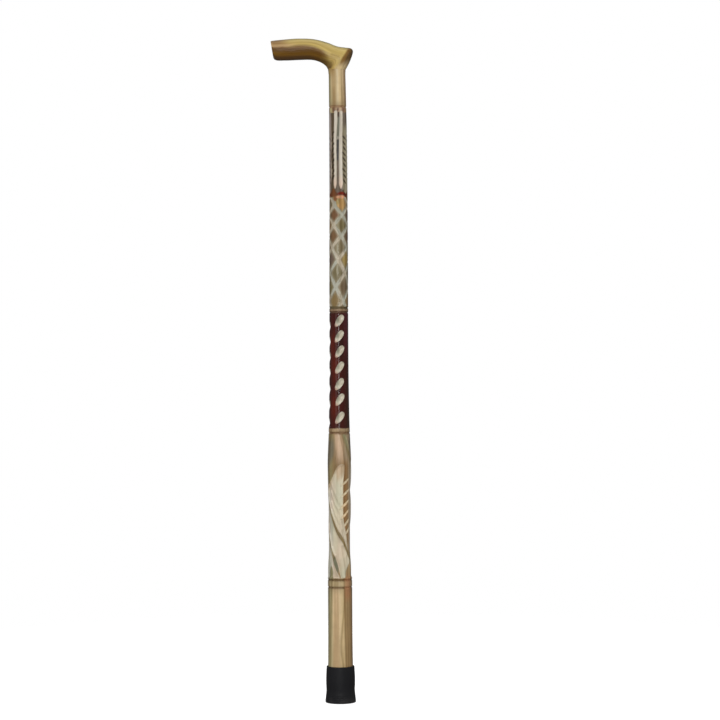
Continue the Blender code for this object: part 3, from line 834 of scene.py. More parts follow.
def skin_rings(name, rings, attributes, sharp_rings=(), strips=1):
    """Joins rings of points, from the first to the last, into one closed smooth mesh.

    Both end rings are closed by a fan. Attributes are per point, as (rings, sides) or
    (rings, sides, 3) for colours. The map for baking runs in strips along the rings.
    """
    count, sides = rings.shape[:2]
    here = np.arange(sides)
    there = (here + 1) % sides
    quads = []
    for ring in range(count - 1):
        low, high = ring * sides, (ring + 1) * sides
        quads.append(np.stack((low + here, low + there, high + there, high + here), -1))
    quads = np.concatenate(quads)
    first, last = count * sides, count * sides + 1
    fans = [(first, b, a) for a, b in zip(here, there)]
    start = (count - 1) * sides
    fans += [(last, start + a, start + b) for a, b in zip(here, there)]
    points = np.concatenate((rings.reshape(-1, 3), rings[0].mean(0)[None], rings[-1].mean(0)[None]))
    mesh = bpy.data.meshes.new(name)
    mesh.from_pydata(points.tolist(), [], quads.tolist() + [tuple(map(int, f)) for f in fans])
    mesh.shade_smooth()

    edge_ends = np.zeros(len(mesh.edges) * 2, int)
    mesh.edges.foreach_get("vertices", edge_ends)
    edge_rings = np.minimum(edge_ends.reshape(-1, 2) // sides, count)
    sharp = (edge_rings[:, 0] == edge_rings[:, 1]) & np.isin(edge_rings[:, 0], sharp_rings)
    mesh.attributes.new("sharp_edge", "BOOLEAN", "EDGE").data.foreach_set("value", sharp)

    for label, values in attributes.items():
        values = np.asarray(values, float)
        ends = np.stack((values[0].mean(0), values[-1].mean(0)))
        if values.ndim == 2:
            flat = np.concatenate((values.ravel(), ends.ravel()))
            mesh.attributes.new(label, "FLOAT", "POINT").data.foreach_set("value", flat)
        else:
            flat = np.concatenate((values.reshape(-1, 3), ends))
            flat = np.concatenate((flat, np.ones((len(flat), 1))), -1)
            made = mesh.attributes.new(label, "FLOAT_COLOR", "POINT")
            made.data.foreach_set("color", flat.ravel())

    middle = rings.mean(1)
    reach = np.linalg.norm(rings - middle[:, None], axis=-1).mean(1)
    walk = np.hypot(np.linalg.norm(np.diff(middle, axis=0), axis=-1), np.diff(reach))
    way = np.concatenate(([0], np.cumsum(walk))) / walk.sum()
    strip = np.minimum((way * strips).astype(int), strips - 1)
    spots = []
    for ring in range(count - 1):
        column = strip[ring]
        low = way[ring] * strips - column
        high = min(way[ring + 1] * strips - column, 1.0)
        across = np.array([here, here + 1, here + 1, here], float).T / sides
        up = np.array([low, low, high, high])[None, :].repeat(sides, 0)
        spots.append(on_map(across, up, column, strips))
    for column, up in ((0, np.zeros(3)), (strips - 1, np.ones(3))):
        for side in range(sides):
            spots.append(on_map(np.array((side + 0.5, side, side + 1)) / sides, up, column, strips))
    baked = mesh.uv_layers.new(name="OFBake")
    baked.data.foreach_set("uv", np.concatenate(spots).ravel())
    made = bpy.data.objects.new(name, mesh)
    bpy.context.collection.objects.link(made)
    return made


seat_outline = (
    (SEAT_RADIUS / 3, SHAFT_BOTTOM),
    (SEAT_RADIUS * 2 / 3, SHAFT_BOTTOM),
    (SEAT_RADIUS - SEAT_CHAMFER, SHAFT_BOTTOM),
    (SEAT_RADIUS, SHAFT_BOTTOM + SEAT_CHAMFER),
    *((SEAT_RADIUS, level) for level in SEAT_ROWS),
    (SEAT_RADIUS, FERRULE_HEIGHT),
)
top_radius = float(uncut[-1, 0])
shaft_top = JOINT_HEIGHT - JOINT_LINE
top_outline = (
    (top_radius - EDGE_CHAMFER, shaft_top),
    (STUD_HOLE_RADIUS, shaft_top),
    (STUD_HOLE_RADIUS, shaft_top - STUD_HOLE_REACH / 2),
    (STUD_HOLE_RADIUS, JOINT_HEIGHT - STUD_HOLE_REACH),
    (STUD_HOLE_RADIUS / 2, JOINT_HEIGHT - STUD_HOLE_REACH),
)
seat_rings = [ring_of_points(radius, level, SHAFT_SIDES) for radius, level in seat_outline]
top_rings = [ring_of_points(radius, level, SHAFT_SIDES) for radius, level in top_outline]
shaft_rings = np.concatenate((seat_rings, outside, top_rings))
last_outside = len(seat_rings) + len(outside) - 1


def with_ends(values):
    """The outside's values, carried on over the seat's rings and the bored top's rings."""
    below = np.repeat(values[:1], len(seat_rings), axis=0)
    above = np.repeat(values[-1:], len(top_rings), axis=0)
    return np.concatenate((below, values, above))


shaft = skin_rings(
    "carved_shaft",
    shaft_rings,
    {
        "cut": with_ends(cut_share),
        "ground": with_ends(ground),
        "bare": with_ends(bare),
        "lacquer": with_ends(lacquer),
    },
    sharp_rings=(*SEAT_CORNERS, *range(last_outside, len(shaft_rings) - 1)),
    strips=3,
)


def place_node(tree, kind, inputs=None, **settings):
    """Adds a node; an input takes a value or another node's output."""
    node = tree.nodes.new("ShaderNode" + kind)
    for label, value in settings.items():
        setattr(node, label, value)
    for label, value in (inputs or {}).items():
        if isinstance(value, bpy.types.NodeSocket):
            tree.links.new(value, node.inputs[label])
        else:
            node.inputs[label].default_value = value
    return node


def maths(tree, operation, *values):
    """The output of a maths node."""
    return place_node(tree, "Math", dict(enumerate(values)), operation=operation).outputs[0]


def scaled(tree, value, factor, plus):
    """A value times a factor, plus another."""
    return maths(tree, "MULTIPLY_ADD", value, factor, plus)


def stretched(tree, coordinates, *scale):
    """Coordinates scaled along each axis."""
    node = place_node(tree, "VectorMath", {0: coordinates, 1: scale}, operation="MULTIPLY")
    return node.outputs[0]


def noise(tree, coordinates, scale, detail=3.0, roughness=0.5):
    """Cloudy noise, about 0 to 1."""
    inputs = {"Vector": coordinates, "Scale": scale, "Detail": detail, "Roughness": roughness}
    return place_node(tree, "TexNoise", inputs).outputs["Fac"]


def streaked(tree, coordinates, across, along, detail=3.0, roughness=0.5):
    """Noise drawn out along the third axis, with its scales per metre across and along."""
    return noise(tree, stretched(tree, coordinates, across, across, along), 1.0, detail, roughness)


def off_axis(tree, coordinates):
    """Distance from the third axis."""
    level = stretched(tree, coordinates, 1, 1, 0)
    return place_node(tree, "VectorMath", {0: level}, operation="LENGTH").outputs["Value"]


def ramped(tree, value, low, high, first=0.0, last=1.0):
    """Smooth step of a value from low to high, as first to last."""
    inputs = {"Value": value, "From Min": low, "From Max": high, "To Min": first, "To Max": last}
    return place_node(tree, "MapRange", inputs, interpolation_type="SMOOTHSTEP").outputs[0]


def mixed(tree, share, first, second, blend="MIX"):
    """Two colours mixed by share."""
    inputs = {0: share, 6: first, 7: second}
    settings = {"data_type": "RGBA", "blend_type": blend}
    return place_node(tree, "Mix", inputs, **settings).outputs[2]


def solid(colour):
    """A linear colour as a shader's socket takes it."""
    return (*map(float, colour), 1.0)


def paint(*seen):
    """A colour as seen, 0 to 255, as a shader's socket takes it."""
    return solid(tint(*seen))


def wood_figure(tree, coordinates, pith, ring_width, ring_tone=0.34):
    """Growth rings, fibres and pores of a wood whose grain runs along the third axis.

    Gives the tone, 0 dark to 1 light, and the share of open pores.
    """
    wander = streaked(tree, coordinates, 22, 1.8)
    from_pith = {0: coordinates, 1: pith}
    off_pith = place_node(tree, "VectorMath", from_pith, operation="SUBTRACT").outputs[0]
    uneven_reach = scaled(tree, wander, 0.010, off_axis(tree, off_pith))
    ring = maths(tree, "FRACT", maths(tree, "DIVIDE", uneven_reach, ring_width))
    darkening, ending = ramped(tree, ring, 0.25, 0.92), ramped(tree, ring, 0.94, 1.0, 1.0, 0.0)
    late_wood = maths(tree, "MULTIPLY", darkening, ending)
    fibres = streaked(tree, coordinates, 420, 13, 5.0, 0.62)
    hairs = streaked(tree, coordinates, 1700, 34, 2.0, 0.6)
    fibres = scaled(tree, hairs, 0.35, maths(tree, "MULTIPLY", fibres, 0.65))
    streaks = streaked(tree, coordinates, 110, 3.5, 3.0, 0.55)
    light = scaled(tree, fibres, 0.75, maths(tree, "MULTIPLY", streaks, 0.9))
    tone = maths(tree, "SUBTRACT", light, maths(tree, "MULTIPLY", late_wood, ring_tone))
    pores = streaked(tree, coordinates, 2400, 95, 2.0)
    return ramped(tree, tone, 0.42, 1.02), ramped(tree, pores, 0.64, 0.74)


def wood_grain(tree, tone, pores, dark, light, pore):
    """The wood's figure as a colour that its stain is multiplied by."""
    grain = mixed(tree, tone, solid(dark), solid(light))
    return mixed(tree, maths(tree, "MULTIPLY", pores, 0.35), grain, solid(pore))


def wood_relief(tree, tone, pores):
    """Height of the fibres, with the pores sunk."""
    return scaled(tree, tone, 0.6, maths(tree, "MULTIPLY", pores, -1.0))


def new_finish(name):
    """An empty node material with its shader and output."""
    finish = bpy.data.materials.new(name)
    finish.use_nodes = True
    tree = finish.node_tree
    tree.nodes.clear()
    shader = place_node(tree, "BsdfPrincipled")
    output = place_node(tree, "OutputMaterial")
    tree.links.new(shader.outputs[0], output.inputs["Surface"])
    return finish, tree, shader


def dress(tree, shader, colour, rough, relief, strength, depth):
    """Gives a shader its colour, its roughness and a fine relief of a strength and a depth."""
    tree.links.new(colour, shader.inputs["Base Color"])
    tree.links.new(rough, shader.inputs["Roughness"])
    bump = place_node(tree, "Bump", {"Strength": strength, "Distance": depth, "Height": relief})
    tree.links.new(bump.outputs[0], shader.inputs["Normal"])


def attribute(tree, label, output="Fac"):
    """A value laid on the mesh's points."""
    return place_node(tree, "Attribute", attribute_name=label).outputs[output]


def own_place(tree):
    """Coordinates in the piece's own frame, in metres."""
    return place_node(tree, "TexCoord").outputs["Object"]


# Shaft finish: stained wood under varnish, bare washed wood in the cuts, thick lacquer on its band
SHAFT_PITH = (0.010, 0.030, 0.0)
SHAFT_RING_WIDTH = 0.0026
NO_TINT = solid((1, 1, 1))
CUT_DIRT = solid((0.10, 0.07, 0.05))
carved_wood, tree, shader = new_finish("carved_wood_finish")
place = own_place(tree)
tone, pores = wood_figure(tree, place, SHAFT_PITH, SHAFT_RING_WIDTH)
lacquered = attribute(tree, "lacquer")
grain = wood_grain(tree, tone, pores, (0.74, 0.68, 0.58), (1.18, 1.17, 1.14), (0.42, 0.34, 0.25))
ground_grain = mixed(tree, lacquered, grain, mixed(tree, 0.72, grain, NO_TINT))
stained = mixed(tree, 1.0, attribute(tree, "ground", "Color"), ground_grain, "MULTIPLY")
bare_grain = mixed(tree, 0.35, grain, NO_TINT)
washed = mixed(tree, 1.0, attribute(tree, "bare", "Color"), bare_grain, "MULTIPLY")
ragged = streaked(tree, place, 900, 220)
cut = maths(tree, "ADD", attribute(tree, "cut"), scaled(tree, ragged, 0.24, -0.12))
edge_dirt = ramped(tree, cut, 0.02, 0.34, 0.76, 1.0)
washed = mixed(tree, maths(tree, "SUBTRACT", 1.0, edge_dirt), washed, CUT_DIRT)
opened = ramped(tree, cut, -0.12, 0.12)
mottle = noise(tree, place, 60.0, 4.0, 0.6)
shade = ramped(tree, mottle, 0.2, 0.8, 0.90, 1.08)
grey = place_node(tree, "CombineColor", {0: shade, 1: shade, 2: shade}).outputs[0]
colour = mixed(tree, 1.0, mixed(tree, opened, stained, washed), grey, "MULTIPLY")
satin = scaled(tree, mottle, 0.14, 0.26)
gloss = scaled(tree, lacquered, -0.14, satin)
matt = scaled(tree, opened, 0.16, gloss)
rough = scaled(tree, pores, 0.10, matt)
shader.inputs["Coat Weight"].default_value = 0.25
shader.inputs["Coat Roughness"].default_value = 0.16
knife = streaked(tree, place, 700, 180, 2.0)
relief = wood_relief(tree, tone, pores)
relief = maths(tree, "MULTIPLY", relief, scaled(tree, lacquered, -0.8, 1.0))
relief = maths(tree, "ADD", relief, maths(tree, "MULTIPLY", opened, maths(tree, "MULTIPLY", knife, 1.6)))
dress(tree, shader, colour, rough, relief, 0.5, 0.00012)

shaft.data.materials.append(carved_wood)
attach(shaft, "stick")
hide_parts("shaft")

# Joining stud: a plain 8 mm steel rod with chamfered ends, glued half in the shaft and half in the
# handle. It is cut from drawn bar, so fine lines run along it and it has dull patches of dry glue.


def refinish(node, finish):
    """Gives a piece that is shown as it stands in the frame a finish of its own."""
    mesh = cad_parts[node].data
    mesh.materials.clear()
    mesh.materials.append(finish)


stud_steel, tree, shader = new_finish("stud_steel_finish")
place = own_place(tree)
drawn = streaked(tree, place, 5200, 60)
glue = ramped(tree, noise(tree, place, 240.0, 4.0), 0.52, 0.62)
steel = mixed(tree, drawn, paint(150, 150, 152), paint(196, 196, 198))
colour = mixed(tree, glue, steel, paint(186, 166, 124))
rough = scaled(tree, glue, 0.25, scaled(tree, drawn, 0.2, 0.22))
dress(tree, shader, colour, rough, maths(tree, "ADD", drawn, glue), 0.4, 0.00005)
tree.links.new(ramped(tree, glue, 0.0, 1.0, 1.0, 0.1), shader.inputs["Metallic"])
refinish("handle_stud", stud_steel)

# Handle: one piece of golden hardwood, sawn out as an arm, a heel and a neck, then rasped and sanded
# by hand to soft facets and varnished. Its neck is bored and glued down over the stud.

# Points on the lower and upper edge, walked from the arm's end round the bend to the neck, as
# (place, lower x, lower z, upper x, upper z, half thickness)
HANDLE_EDGES = (
    (0.00, -0.0865, 0.8748, -0.0899, 0.8967, 0.0110),
    (0.025, -0.0853, 0.8724, -0.0878, 0.8971, 0.0113),
    (0.055, -0.0826, 0.8710, -0.0848, 0.8975, 0.0115),
    (0.15, -0.0700, 0.8705, -0.0730, 0.8986, 0.0120),
    (0.30, -0.0500, 0.8711, -0.0500, 0.8999, 0.0126),
    (0.42, -0.0350, 0.8712, -0.0300, 0.8987, 0.0128),
    (0.52, -0.0258, 0.8692, -0.0130, 0.8943, 0.0127),
    (0.61, -0.0196, 0.8662, 0.0010, 0.8890, 0.0125),
    (0.69, -0.0160, 0.8635, 0.0120, 0.8873, 0.0121),
    (0.75, -0.0143, 0.8617, 0.0190, 0.8863, 0.0118),
    (0.80, -0.0135, 0.8604, 0.0217, 0.8834, 0.0115),
    (0.85, -0.0129, 0.8592, 0.0214, 0.8790, 0.0114),
    (0.92, -0.0124, 0.8581, 0.0175, 0.8683, 0.0113),
    (1.00, -0.0121, JOINT_HEIGHT, 0.01166, JOINT_HEIGHT, 0.01135),
)
# Level of the soft ridge between the upper and the lower facet, -1 lower edge to 1 upper edge
RIDGE_LEVELS = (
    (0.00, 0.16),
    (0.12, 0.15),
    (0.22, 0.14),
    (0.30, 0.20),
    (0.42, 0.10),
    (0.52, -0.08),
    (0.61, -0.36),
    (0.69, -0.70),
    (0.80, -1.15),
    (1.00, -1.40),
)
HANDLE_SIDES = 120
HANDLE_SECTIONS = 210
END_ROUNDING = 0.0022
END_ROUNDING_STEPS = 7
UPPER_SQUARENESS = 2.3
LOWER_SQUARENESS = 1.75
LOWER_FULLNESS = 2.1
WIDEST_RANGE = (-0.1, 0.3)
NECK_ROUND_FROM, NECK_ROUND_TO = 0.48, 0.86
NECK_RADIUS = 0.0113
CUT_END_SHARES = (0.12, 0.3, 0.5, 0.7, 0.85)
# Level of the border of the heel's brown, which is partly stain and partly painted shade
HEEL_BORDER = (
    (0.0, 1.5),
    (0.66, 1.3),
    (0.70, 1.0),
    (0.75, 0.62),
    (0.80, 0.26),
    (0.85, 0.06),
    (0.92, 0.0),
    (1.0, 0.0),
)

places = np.linspace(0, 1, HANDLE_SECTIONS + 1)
ridge_levels = smooth_through(RIDGE_LEVELS, places)[:, 0]
around = (FULL_TURN * np.arange(HANDLE_SIDES) / HANDLE_SIDES)[None, :]


def handle_section(place, ridge, shrink=1.0, shift=(0.0, 0.0)):
    """Points of one section: fullest at the ridge, rounder above it and flatter below it."""
    low_x, low_z, high_x, high_z, half_y = smooth_through(HANDLE_EDGES, [place])[0]
    level = np.cos(around[0])
    widest = np.clip(ridge, *WIDEST_RANGE)
    above = np.clip((level - widest) / (1 - widest), 0, 1)
    below = np.clip((widest - level) / (1 + widest), 0, 1)
    facet = np.where(
        level > widest,
        (1 - above**UPPER_SQUARENESS) ** (1 / UPPER_SQUARENESS),
        (1 - below**LOWER_SQUARENESS) ** (1 / LOWER_FULLNESS),
    )
    round_share = float(rise_between(place, NECK_ROUND_FROM, NECK_ROUND_TO))
    full = facet * (1 - round_share) + abs(np.sin(around[0])) * round_share
    full = full * np.sign(np.round(np.sin(around[0]), 9))
    middle = ((low_x + high_x) / 2 + shift[0], (low_z + high_z) / 2 + shift[1])
    reach = ((high_x - low_x) / 2 * shrink, (high_z - low_z) / 2 * shrink)
    return np.stack((middle[0] + level * reach[0], full * half_y * shrink, middle[1] + level * reach[1]), -1)


low_x, low_z, high_x, high_z = HANDLE_EDGES[0][1:5]
end_slant = math.atan2(high_z - low_z, high_x - low_x)
outward = (-math.sin(end_slant), math.cos(end_slant))
end_half = math.hypot(high_x - low_x, high_z - low_z) / 2
end_rings = []
for share in CUT_END_SHARES:
    flush = (1 - END_ROUNDING / end_half) * share
    shift = (-outward[0] * END_ROUNDING, -outward[1] * END_ROUNDING)
    end_rings.append(handle_section(0.0, ridge_levels[0], flush, shift))
for turn in np.linspace(90, 0, END_ROUNDING_STEPS)[:-1]:
    turn = math.radians(turn)
    inset = END_ROUNDING * (1 - math.cos(turn))
    proud = END_ROUNDING * (math.sin(turn) - 1)
    shift = (outward[0] * proud, outward[1] * proud)
    end_rings.append(handle_section(0.0, ridge_levels[0], 1 - inset / end_half, shift))
arm_rings = [handle_section(place, ridge) for place, ridge in zip(places[:-1], ridge_levels[:-1])]


def neck_ring(radius, level, flared=0.0):
    """A level ring at the neck, in step with the handle's sections."""
    radius = radius + flared * neck_flare(around[0] + math.pi / 2)
    return np.stack(
        (radius * np.cos(around[0]), radius * np.sin(around[0]), np.full(HANDLE_SIDES, level)), -1
    )


hole_top = JOINT_HEIGHT + STUD_HOLE_REACH
neck_rings = [
    neck_ring(NECK_RADIUS, JOINT_HEIGHT + EDGE_CHAMFER, 1.0),
    neck_ring(NECK_RADIUS - EDGE_CHAMFER, JOINT_HEIGHT, 1.0),
    neck_ring(STUD_HOLE_RADIUS, JOINT_HEIGHT),
    neck_ring(STUD_HOLE_RADIUS, (JOINT_HEIGHT + hole_top) / 2),
    neck_ring(STUD_HOLE_RADIUS, hole_top),
    neck_ring(STUD_HOLE_RADIUS / 2, hole_top),
]
handle_rings = np.concatenate((end_rings, arm_rings, neck_rings))[:, ::-1]


def at_rings(values):
    """Values of the arm's sections, carried on over the rings of the arm's end and of the neck."""
    before, after = [values[0]] * len(end_rings), [values[-1]] * len(neck_rings)
    return np.concatenate((before, values[:-1], after))[:, None]


along_arm, ridge = at_rings(places), at_rings(ridge_levels)
level = np.cos(around)[:, ::-1]
middles = handle_rings.mean(1)
walked = np.concatenate(([0], np.cumsum(np.linalg.norm(np.diff(middles, axis=0), axis=-1))))
half_heights = np.linalg.norm(handle_rings - middles[:, None], axis=-1).max(1)[:, None]
across = level * half_heights
grain_way = np.stack((across, handle_rings[..., 1], np.broadcast_to(walked[:, None], across.shape)), -1)

# Handle colours: golden on the upper facet, brown below the ridge that is partly stain and partly
# painted shade, and grey olive painted shade along the top rim, with more painted shade underneath
# the arm, on the heel's rim and in the inner bend. A row is (share, zone, colour)
handle_colour = np.ones(handle_rings.shape) * tint(196, 172, 104)
brown_and_shade_below_ridge = rise_between(ridge - level, -0.32, 0.12) * fall_between(along_arm, 0.50, 0.76)
underside_shade = fall_between(level, -0.90, -0.50) * fall_between(along_arm, 0.30, 0.60)
arm_end = fall_between(along_arm, 0.08, 0.26)
beige = fall_between(abs(level - 0.34), 0.06, 0.20) * fall_between(along_arm, 0.16, 0.30)
off_border = level - smooth_through(HEEL_BORDER, along_arm[:, 0])
heel = rise_between(along_arm, 0.70, 0.76) * fall_between(along_arm, 0.945, 1.0)
neck_part = rise_between(along_arm, 0.88, 0.985) * rise_between(level, -0.5, -0.1)
bend = rise_between(along_arm, 0.70, 0.90) * fall_between(level, -0.6, -0.2)
inner_bend_shade = rise_between(along_arm, 0.45, 0.62) * fall_between(along_arm, 0.90, 1.0)
HANDLE_STAINS_AND_SHADE = (
    (0.6, rise_between(level, 0.55, 1.0), tint(184, 170, 108)),
    # Painted shade: a grey olive rim along the top
    (0.8, rise_between(level, 0.80, 0.98), tint(142, 136, 100)),
    # Brown below the ridge, partly stain and partly painted shade
    (1.0, brown_and_shade_below_ridge, tint(112, 79, 24)),
    # Painted shade underneath the arm
    (0.85, underside_shade, tint(92, 70, 48)),
    (0.8, arm_end * rise_between(level, 0.06, 0.2), tint(144, 104, 66)),
    (0.55, beige, tint(214, 184, 142)),
    (0.8, arm_end * rise_between(level, 0.84, 0.94), tint(176, 160, 138)),
    # The heel's brown, partly stain and partly painted shade, then painted shade on its rim
    (0.95, heel * rise_between(off_border, -0.12, 0.22), tint(122, 88, 42)),
    (0.8, heel * rise_between(off_border, 0.25, 0.70), tint(82, 62, 36)),
    (0.8, neck_part, PALE_WOOD),
    (0.5, bend, tint(166, 132, 70)),
    # Painted shade in the inner bend under the arm
    (0.9, inner_bend_shade * fall_between(level, -0.80, -0.42), tint(102, 78, 38)),
)
# Lays the stains and the painted shade on the handle
for share, zone, stain in HANDLE_STAINS_AND_SHADE:
    lay(handle_colour, share * zone, stain)

handle = skin_rings(
    "crutch_handle",
    handle_rings,
    {"ground": handle_colour, "grain_way": grain_way},
    sharp_rings=range(len(handle_rings) - len(neck_rings), len(handle_rings) - 1),
)

# Handle finish: amber-stained wood whose fibres follow the bend, under satin varnish
HANDLE_PITH = (0.004, 0.034, 0.0)
HANDLE_RING_WIDTH = 0.0031
handle_wood, tree, shader = new_finish("handle_wood_finish")
place = attribute(tree, "grain_way", "Vector")
tone, pores = wood_figure(tree, place, HANDLE_PITH, HANDLE_RING_WIDTH, 0.16)
grain = wood_grain(tree, tone, pores, (0.70, 0.62, 0.50), (1.16, 1.16, 1.12), (0.40, 0.30, 0.20))
stained = mixed(tree, 1.0, attribute(tree, "ground", "Color"), grain, "MULTIPLY")
mottle = noise(tree, place, 70.0, 4.0, 0.6)
rough = scaled(tree, pores, 0.12, scaled(tree, mottle, 0.16, 0.24))
dress(tree, shader, stained, rough, wood_relief(tree, tone, pores), 0.5, 0.00010)
shader.inputs["Coat Weight"].default_value = 0.12
shader.inputs["Coat Roughness"].default_value = 0.2

handle.data.materials.append(handle_wood)
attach(handle, "stick")
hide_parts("handle")

# Ferrule: a cap of moulded black rubber with a flared foot, pushed onto the shaft's seat. Its tread
# is two ring grooves, and fine moulding lines run round its wall.

# Radius of the wall at each height
FERRULE_OUTSIDE = (
    (0.0030, 0.0207),
    (0.0080, 0.0201),
    (0.0148, 0.01945),
    (0.0283, 0.01970),
    (0.0419, 0.0193),
    (0.0470, 0.0190),
)
FERRULE_SIDES = 144
FOOT_ROUNDING = 0.0012
LIP_ROUNDING = 0.0008
ROUNDING_STEPS = 6
BORE_RADIUS = 0.0170
BORE_FLOOR = 0.0110
BORE_CHAMFER = 0.0004
BORE_ROWS = (0.036, 0.024)
SOLE_RINGS = (0.0025, 0.0050)
TREAD_GROOVES = (0.0080, 0.0135)
TREAD_WIDTH = 0.0020
TREAD_DEPTH = 0.0018
TREAD_CHAMFER = 0.0002
MOULD_LINES = (0.0045, 0.0070, 0.0095)
MOULD_LINE_HALF = 0.00035
MOULD_LINE_CLEARANCE = 0.0002
MOULD_LINE_DEPTH = 0.00022
WALL_STEP = 0.0006


def quarter_round(centre_radius, centre_height, rounding, start):
    """Points of a quarter circle in the turning plane, from start degrees anticlockwise."""
    turns = np.radians(start + np.linspace(0, 90, ROUNDING_STEPS + 1))
    return [
        (centre_radius + rounding * math.cos(turn), centre_height + rounding * math.sin(turn))
        for turn in turns
    ]


outline = [(radius, 0.0) for radius in SOLE_RINGS]
for groove in TREAD_GROOVES:
    inner, outer = groove - TREAD_WIDTH / 2, groove + TREAD_WIDTH / 2
    outline += [
        (inner - TREAD_CHAMFER, 0.0),
        (inner, TREAD_CHAMFER),
        (inner, TREAD_DEPTH),
        (outer, TREAD_DEPTH),
        (outer, TREAD_CHAMFER),
        (outer + TREAD_CHAMFER, 0.0),
    ]
foot_radius = FERRULE_OUTSIDE[0][1]
outline += quarter_round(foot_radius - FOOT_ROUNDING, FOOT_ROUNDING, FOOT_ROUNDING, -90)
wall_low, wall_high = FERRULE_OUTSIDE[0][0], FERRULE_OUTSIDE[-1][0]
wall_heights = np.linspace(wall_low, wall_high, round((wall_high - wall_low) / WALL_STEP) + 1)
line_offsets = MOULD_LINE_HALF * np.array((-1, -0.5, 0, 0.5, 1))
line_rows = [line + offset for line in MOULD_LINES for offset in line_offsets]
off_line = abs(wall_heights[:, None] - np.array(MOULD_LINES)).min(1)
plain_heights = wall_heights[off_line >= MOULD_LINE_HALF + MOULD_LINE_CLEARANCE]
wall_heights = np.sort(np.concatenate((plain_heights, line_rows)))
wall_radii = smooth_through(FERRULE_OUTSIDE, wall_heights)[:, 0]
for line in MOULD_LINES:
    wall_radii -= MOULD_LINE_DEPTH * np.clip(1 - ((wall_heights - line) / MOULD_LINE_HALF) ** 2, 0, 1)
outline += list(zip(wall_radii, wall_heights))
lip_radius = FERRULE_OUTSIDE[-1][1]
outline += quarter_round(lip_radius - LIP_ROUNDING, FERRULE_HEIGHT - LIP_ROUNDING, LIP_ROUNDING, 0)
outline += [
    (BORE_RADIUS + BORE_CHAMFER, FERRULE_HEIGHT),
    (BORE_RADIUS, FERRULE_HEIGHT - BORE_CHAMFER),
    *((BORE_RADIUS, level) for level in BORE_ROWS),
    (BORE_RADIUS, BORE_FLOOR),
    (BORE_RADIUS * 2 / 3, BORE_FLOOR),
    (BORE_RADIUS / 3, BORE_FLOOR),
]
ferrule_rings = np.array([ring_of_points(radius, level, FERRULE_SIDES) for radius, level in outline])
ferrule = skin_rings(
    "rubber_ferrule",
    ferrule_rings,
    {},
    sharp_rings=[ring for ring, point in enumerate(outline) if point[1] in (TREAD_DEPTH, BORE_FLOOR)],
)

# Rubber finish: satin black with a fine moulded grain, greyer where the foot has scuffed
ferrule_rubber, tree, shader = new_finish("ferrule_rubber_finish")
place = own_place(tree)
cloud = noise(tree, place, 55.0, 5.0, 0.6)
speck = noise(tree, place, 2600.0, 2.0)
level = place_node(tree, "SeparateXYZ", {0: place}).outputs["Z"]
near_floor, worn = ramped(tree, level, 0.0, 0.010, 1.0, 0.0), ramped(tree, cloud, 0.40, 0.62)
scuffed = maths(tree, "MULTIPLY", near_floor, worn)
rubber = mixed(tree, cloud, paint(21, 21, 23), paint(32, 32, 34))
dusty = mixed(tree, maths(tree, "MULTIPLY", scuffed, 0.45), rubber, paint(70, 68, 66))
rough = scaled(tree, scuffed, 0.18, scaled(tree, cloud, 0.16, 0.42))
dress(tree, shader, dusty, rough, scaled(tree, cloud, 0.8, speck), 0.35, 0.00008)

ferrule.data.materials.append(ferrule_rubber)
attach(ferrule, "ferrule")
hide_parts("ferrule")

# Ferrule washer: a punched steel disc that lies on the bore's floor, so that the shaft's end can't
# punch through the rubber. It was turned on its faces, so fine rings run round its hole.

washer_steel, tree, shader = new_finish("washer_steel_finish")
place = own_place(tree)
from_hole = place_node(tree, "CombineXYZ", {0: off_axis(tree, place)}).outputs[0]
turned = noise(tree, from_hole, 4200.0, 2.0)
dull = ramped(tree, noise(tree, place, 160.0, 4.0), 0.45, 0.68)
steel = mixed(tree, turned, paint(168, 168, 168), paint(206, 206, 204))
colour = mixed(tree, dull, steel, paint(146, 140, 132))
rough = scaled(tree, dull, 0.22, scaled(tree, turned, 0.16, 0.22))
dress(tree, shader, colour, rough, turned, 0.4, 0.00004)
shader.inputs["Metallic"].default_value = 1.0
refinish("ferrule_washer", washer_steel)

# Studio: the cane stands on a plain pale floor in a white studio. A broad soft key, a narrow strip
# and a softbox on the left give the shine seen on the varnish and on the rubber.

FLOOR_RADIUS = 1.1
FLOOR_SIDES = 96
FLOOR_FADE_FROM = 0.45
FLOOR_DROP = 0.0002
floor_mesh = bpy.data.meshes.new("studio_floor")
bm = bmesh.new()
bmesh.ops.create_circle(bm, cap_ends=True, radius=FLOOR_RADIUS, segments=FLOOR_SIDES)
bm.to_mesh(floor_mesh)
bm.free()
floor = bpy.data.objects.new("studio_floor", floor_mesh)
bpy.context.collection.objects.link(floor)
floor_paint, tree, shader = new_finish("floor_paint")
place = own_place(tree)
cloud = noise(tree, place, 6.0, 4.0)
white = mixed(tree, cloud, solid((0.86, 0.86, 0.86)), solid((0.90, 0.90, 0.90)))
tree.links.new(white, shader.inputs["Base Color"])
tree.links.new(scaled(tree, cloud, 0.1, 0.7), shader.inputs["Roughness"])
shader.inputs["Specular IOR Level"].default_value = 0.2
shader.inputs["Emission Color"].default_value = (1, 1, 1, 1)
shader.inputs["Emission Strength"].default_value = 0.80
distance = place_node(tree, "VectorMath", {0: place}, operation="LENGTH").outputs["Value"]
fade = ramped(tree, distance, FLOOR_FADE_FROM, FLOOR_RADIUS, 1.0, 0.0)
tree.links.new(fade, shader.inputs["Alpha"])
floor_mesh.materials.append(floor_paint)
floor.location.z = -FLOOR_DROP
floor.visible_diffuse = False
floor.visible_glossy = False

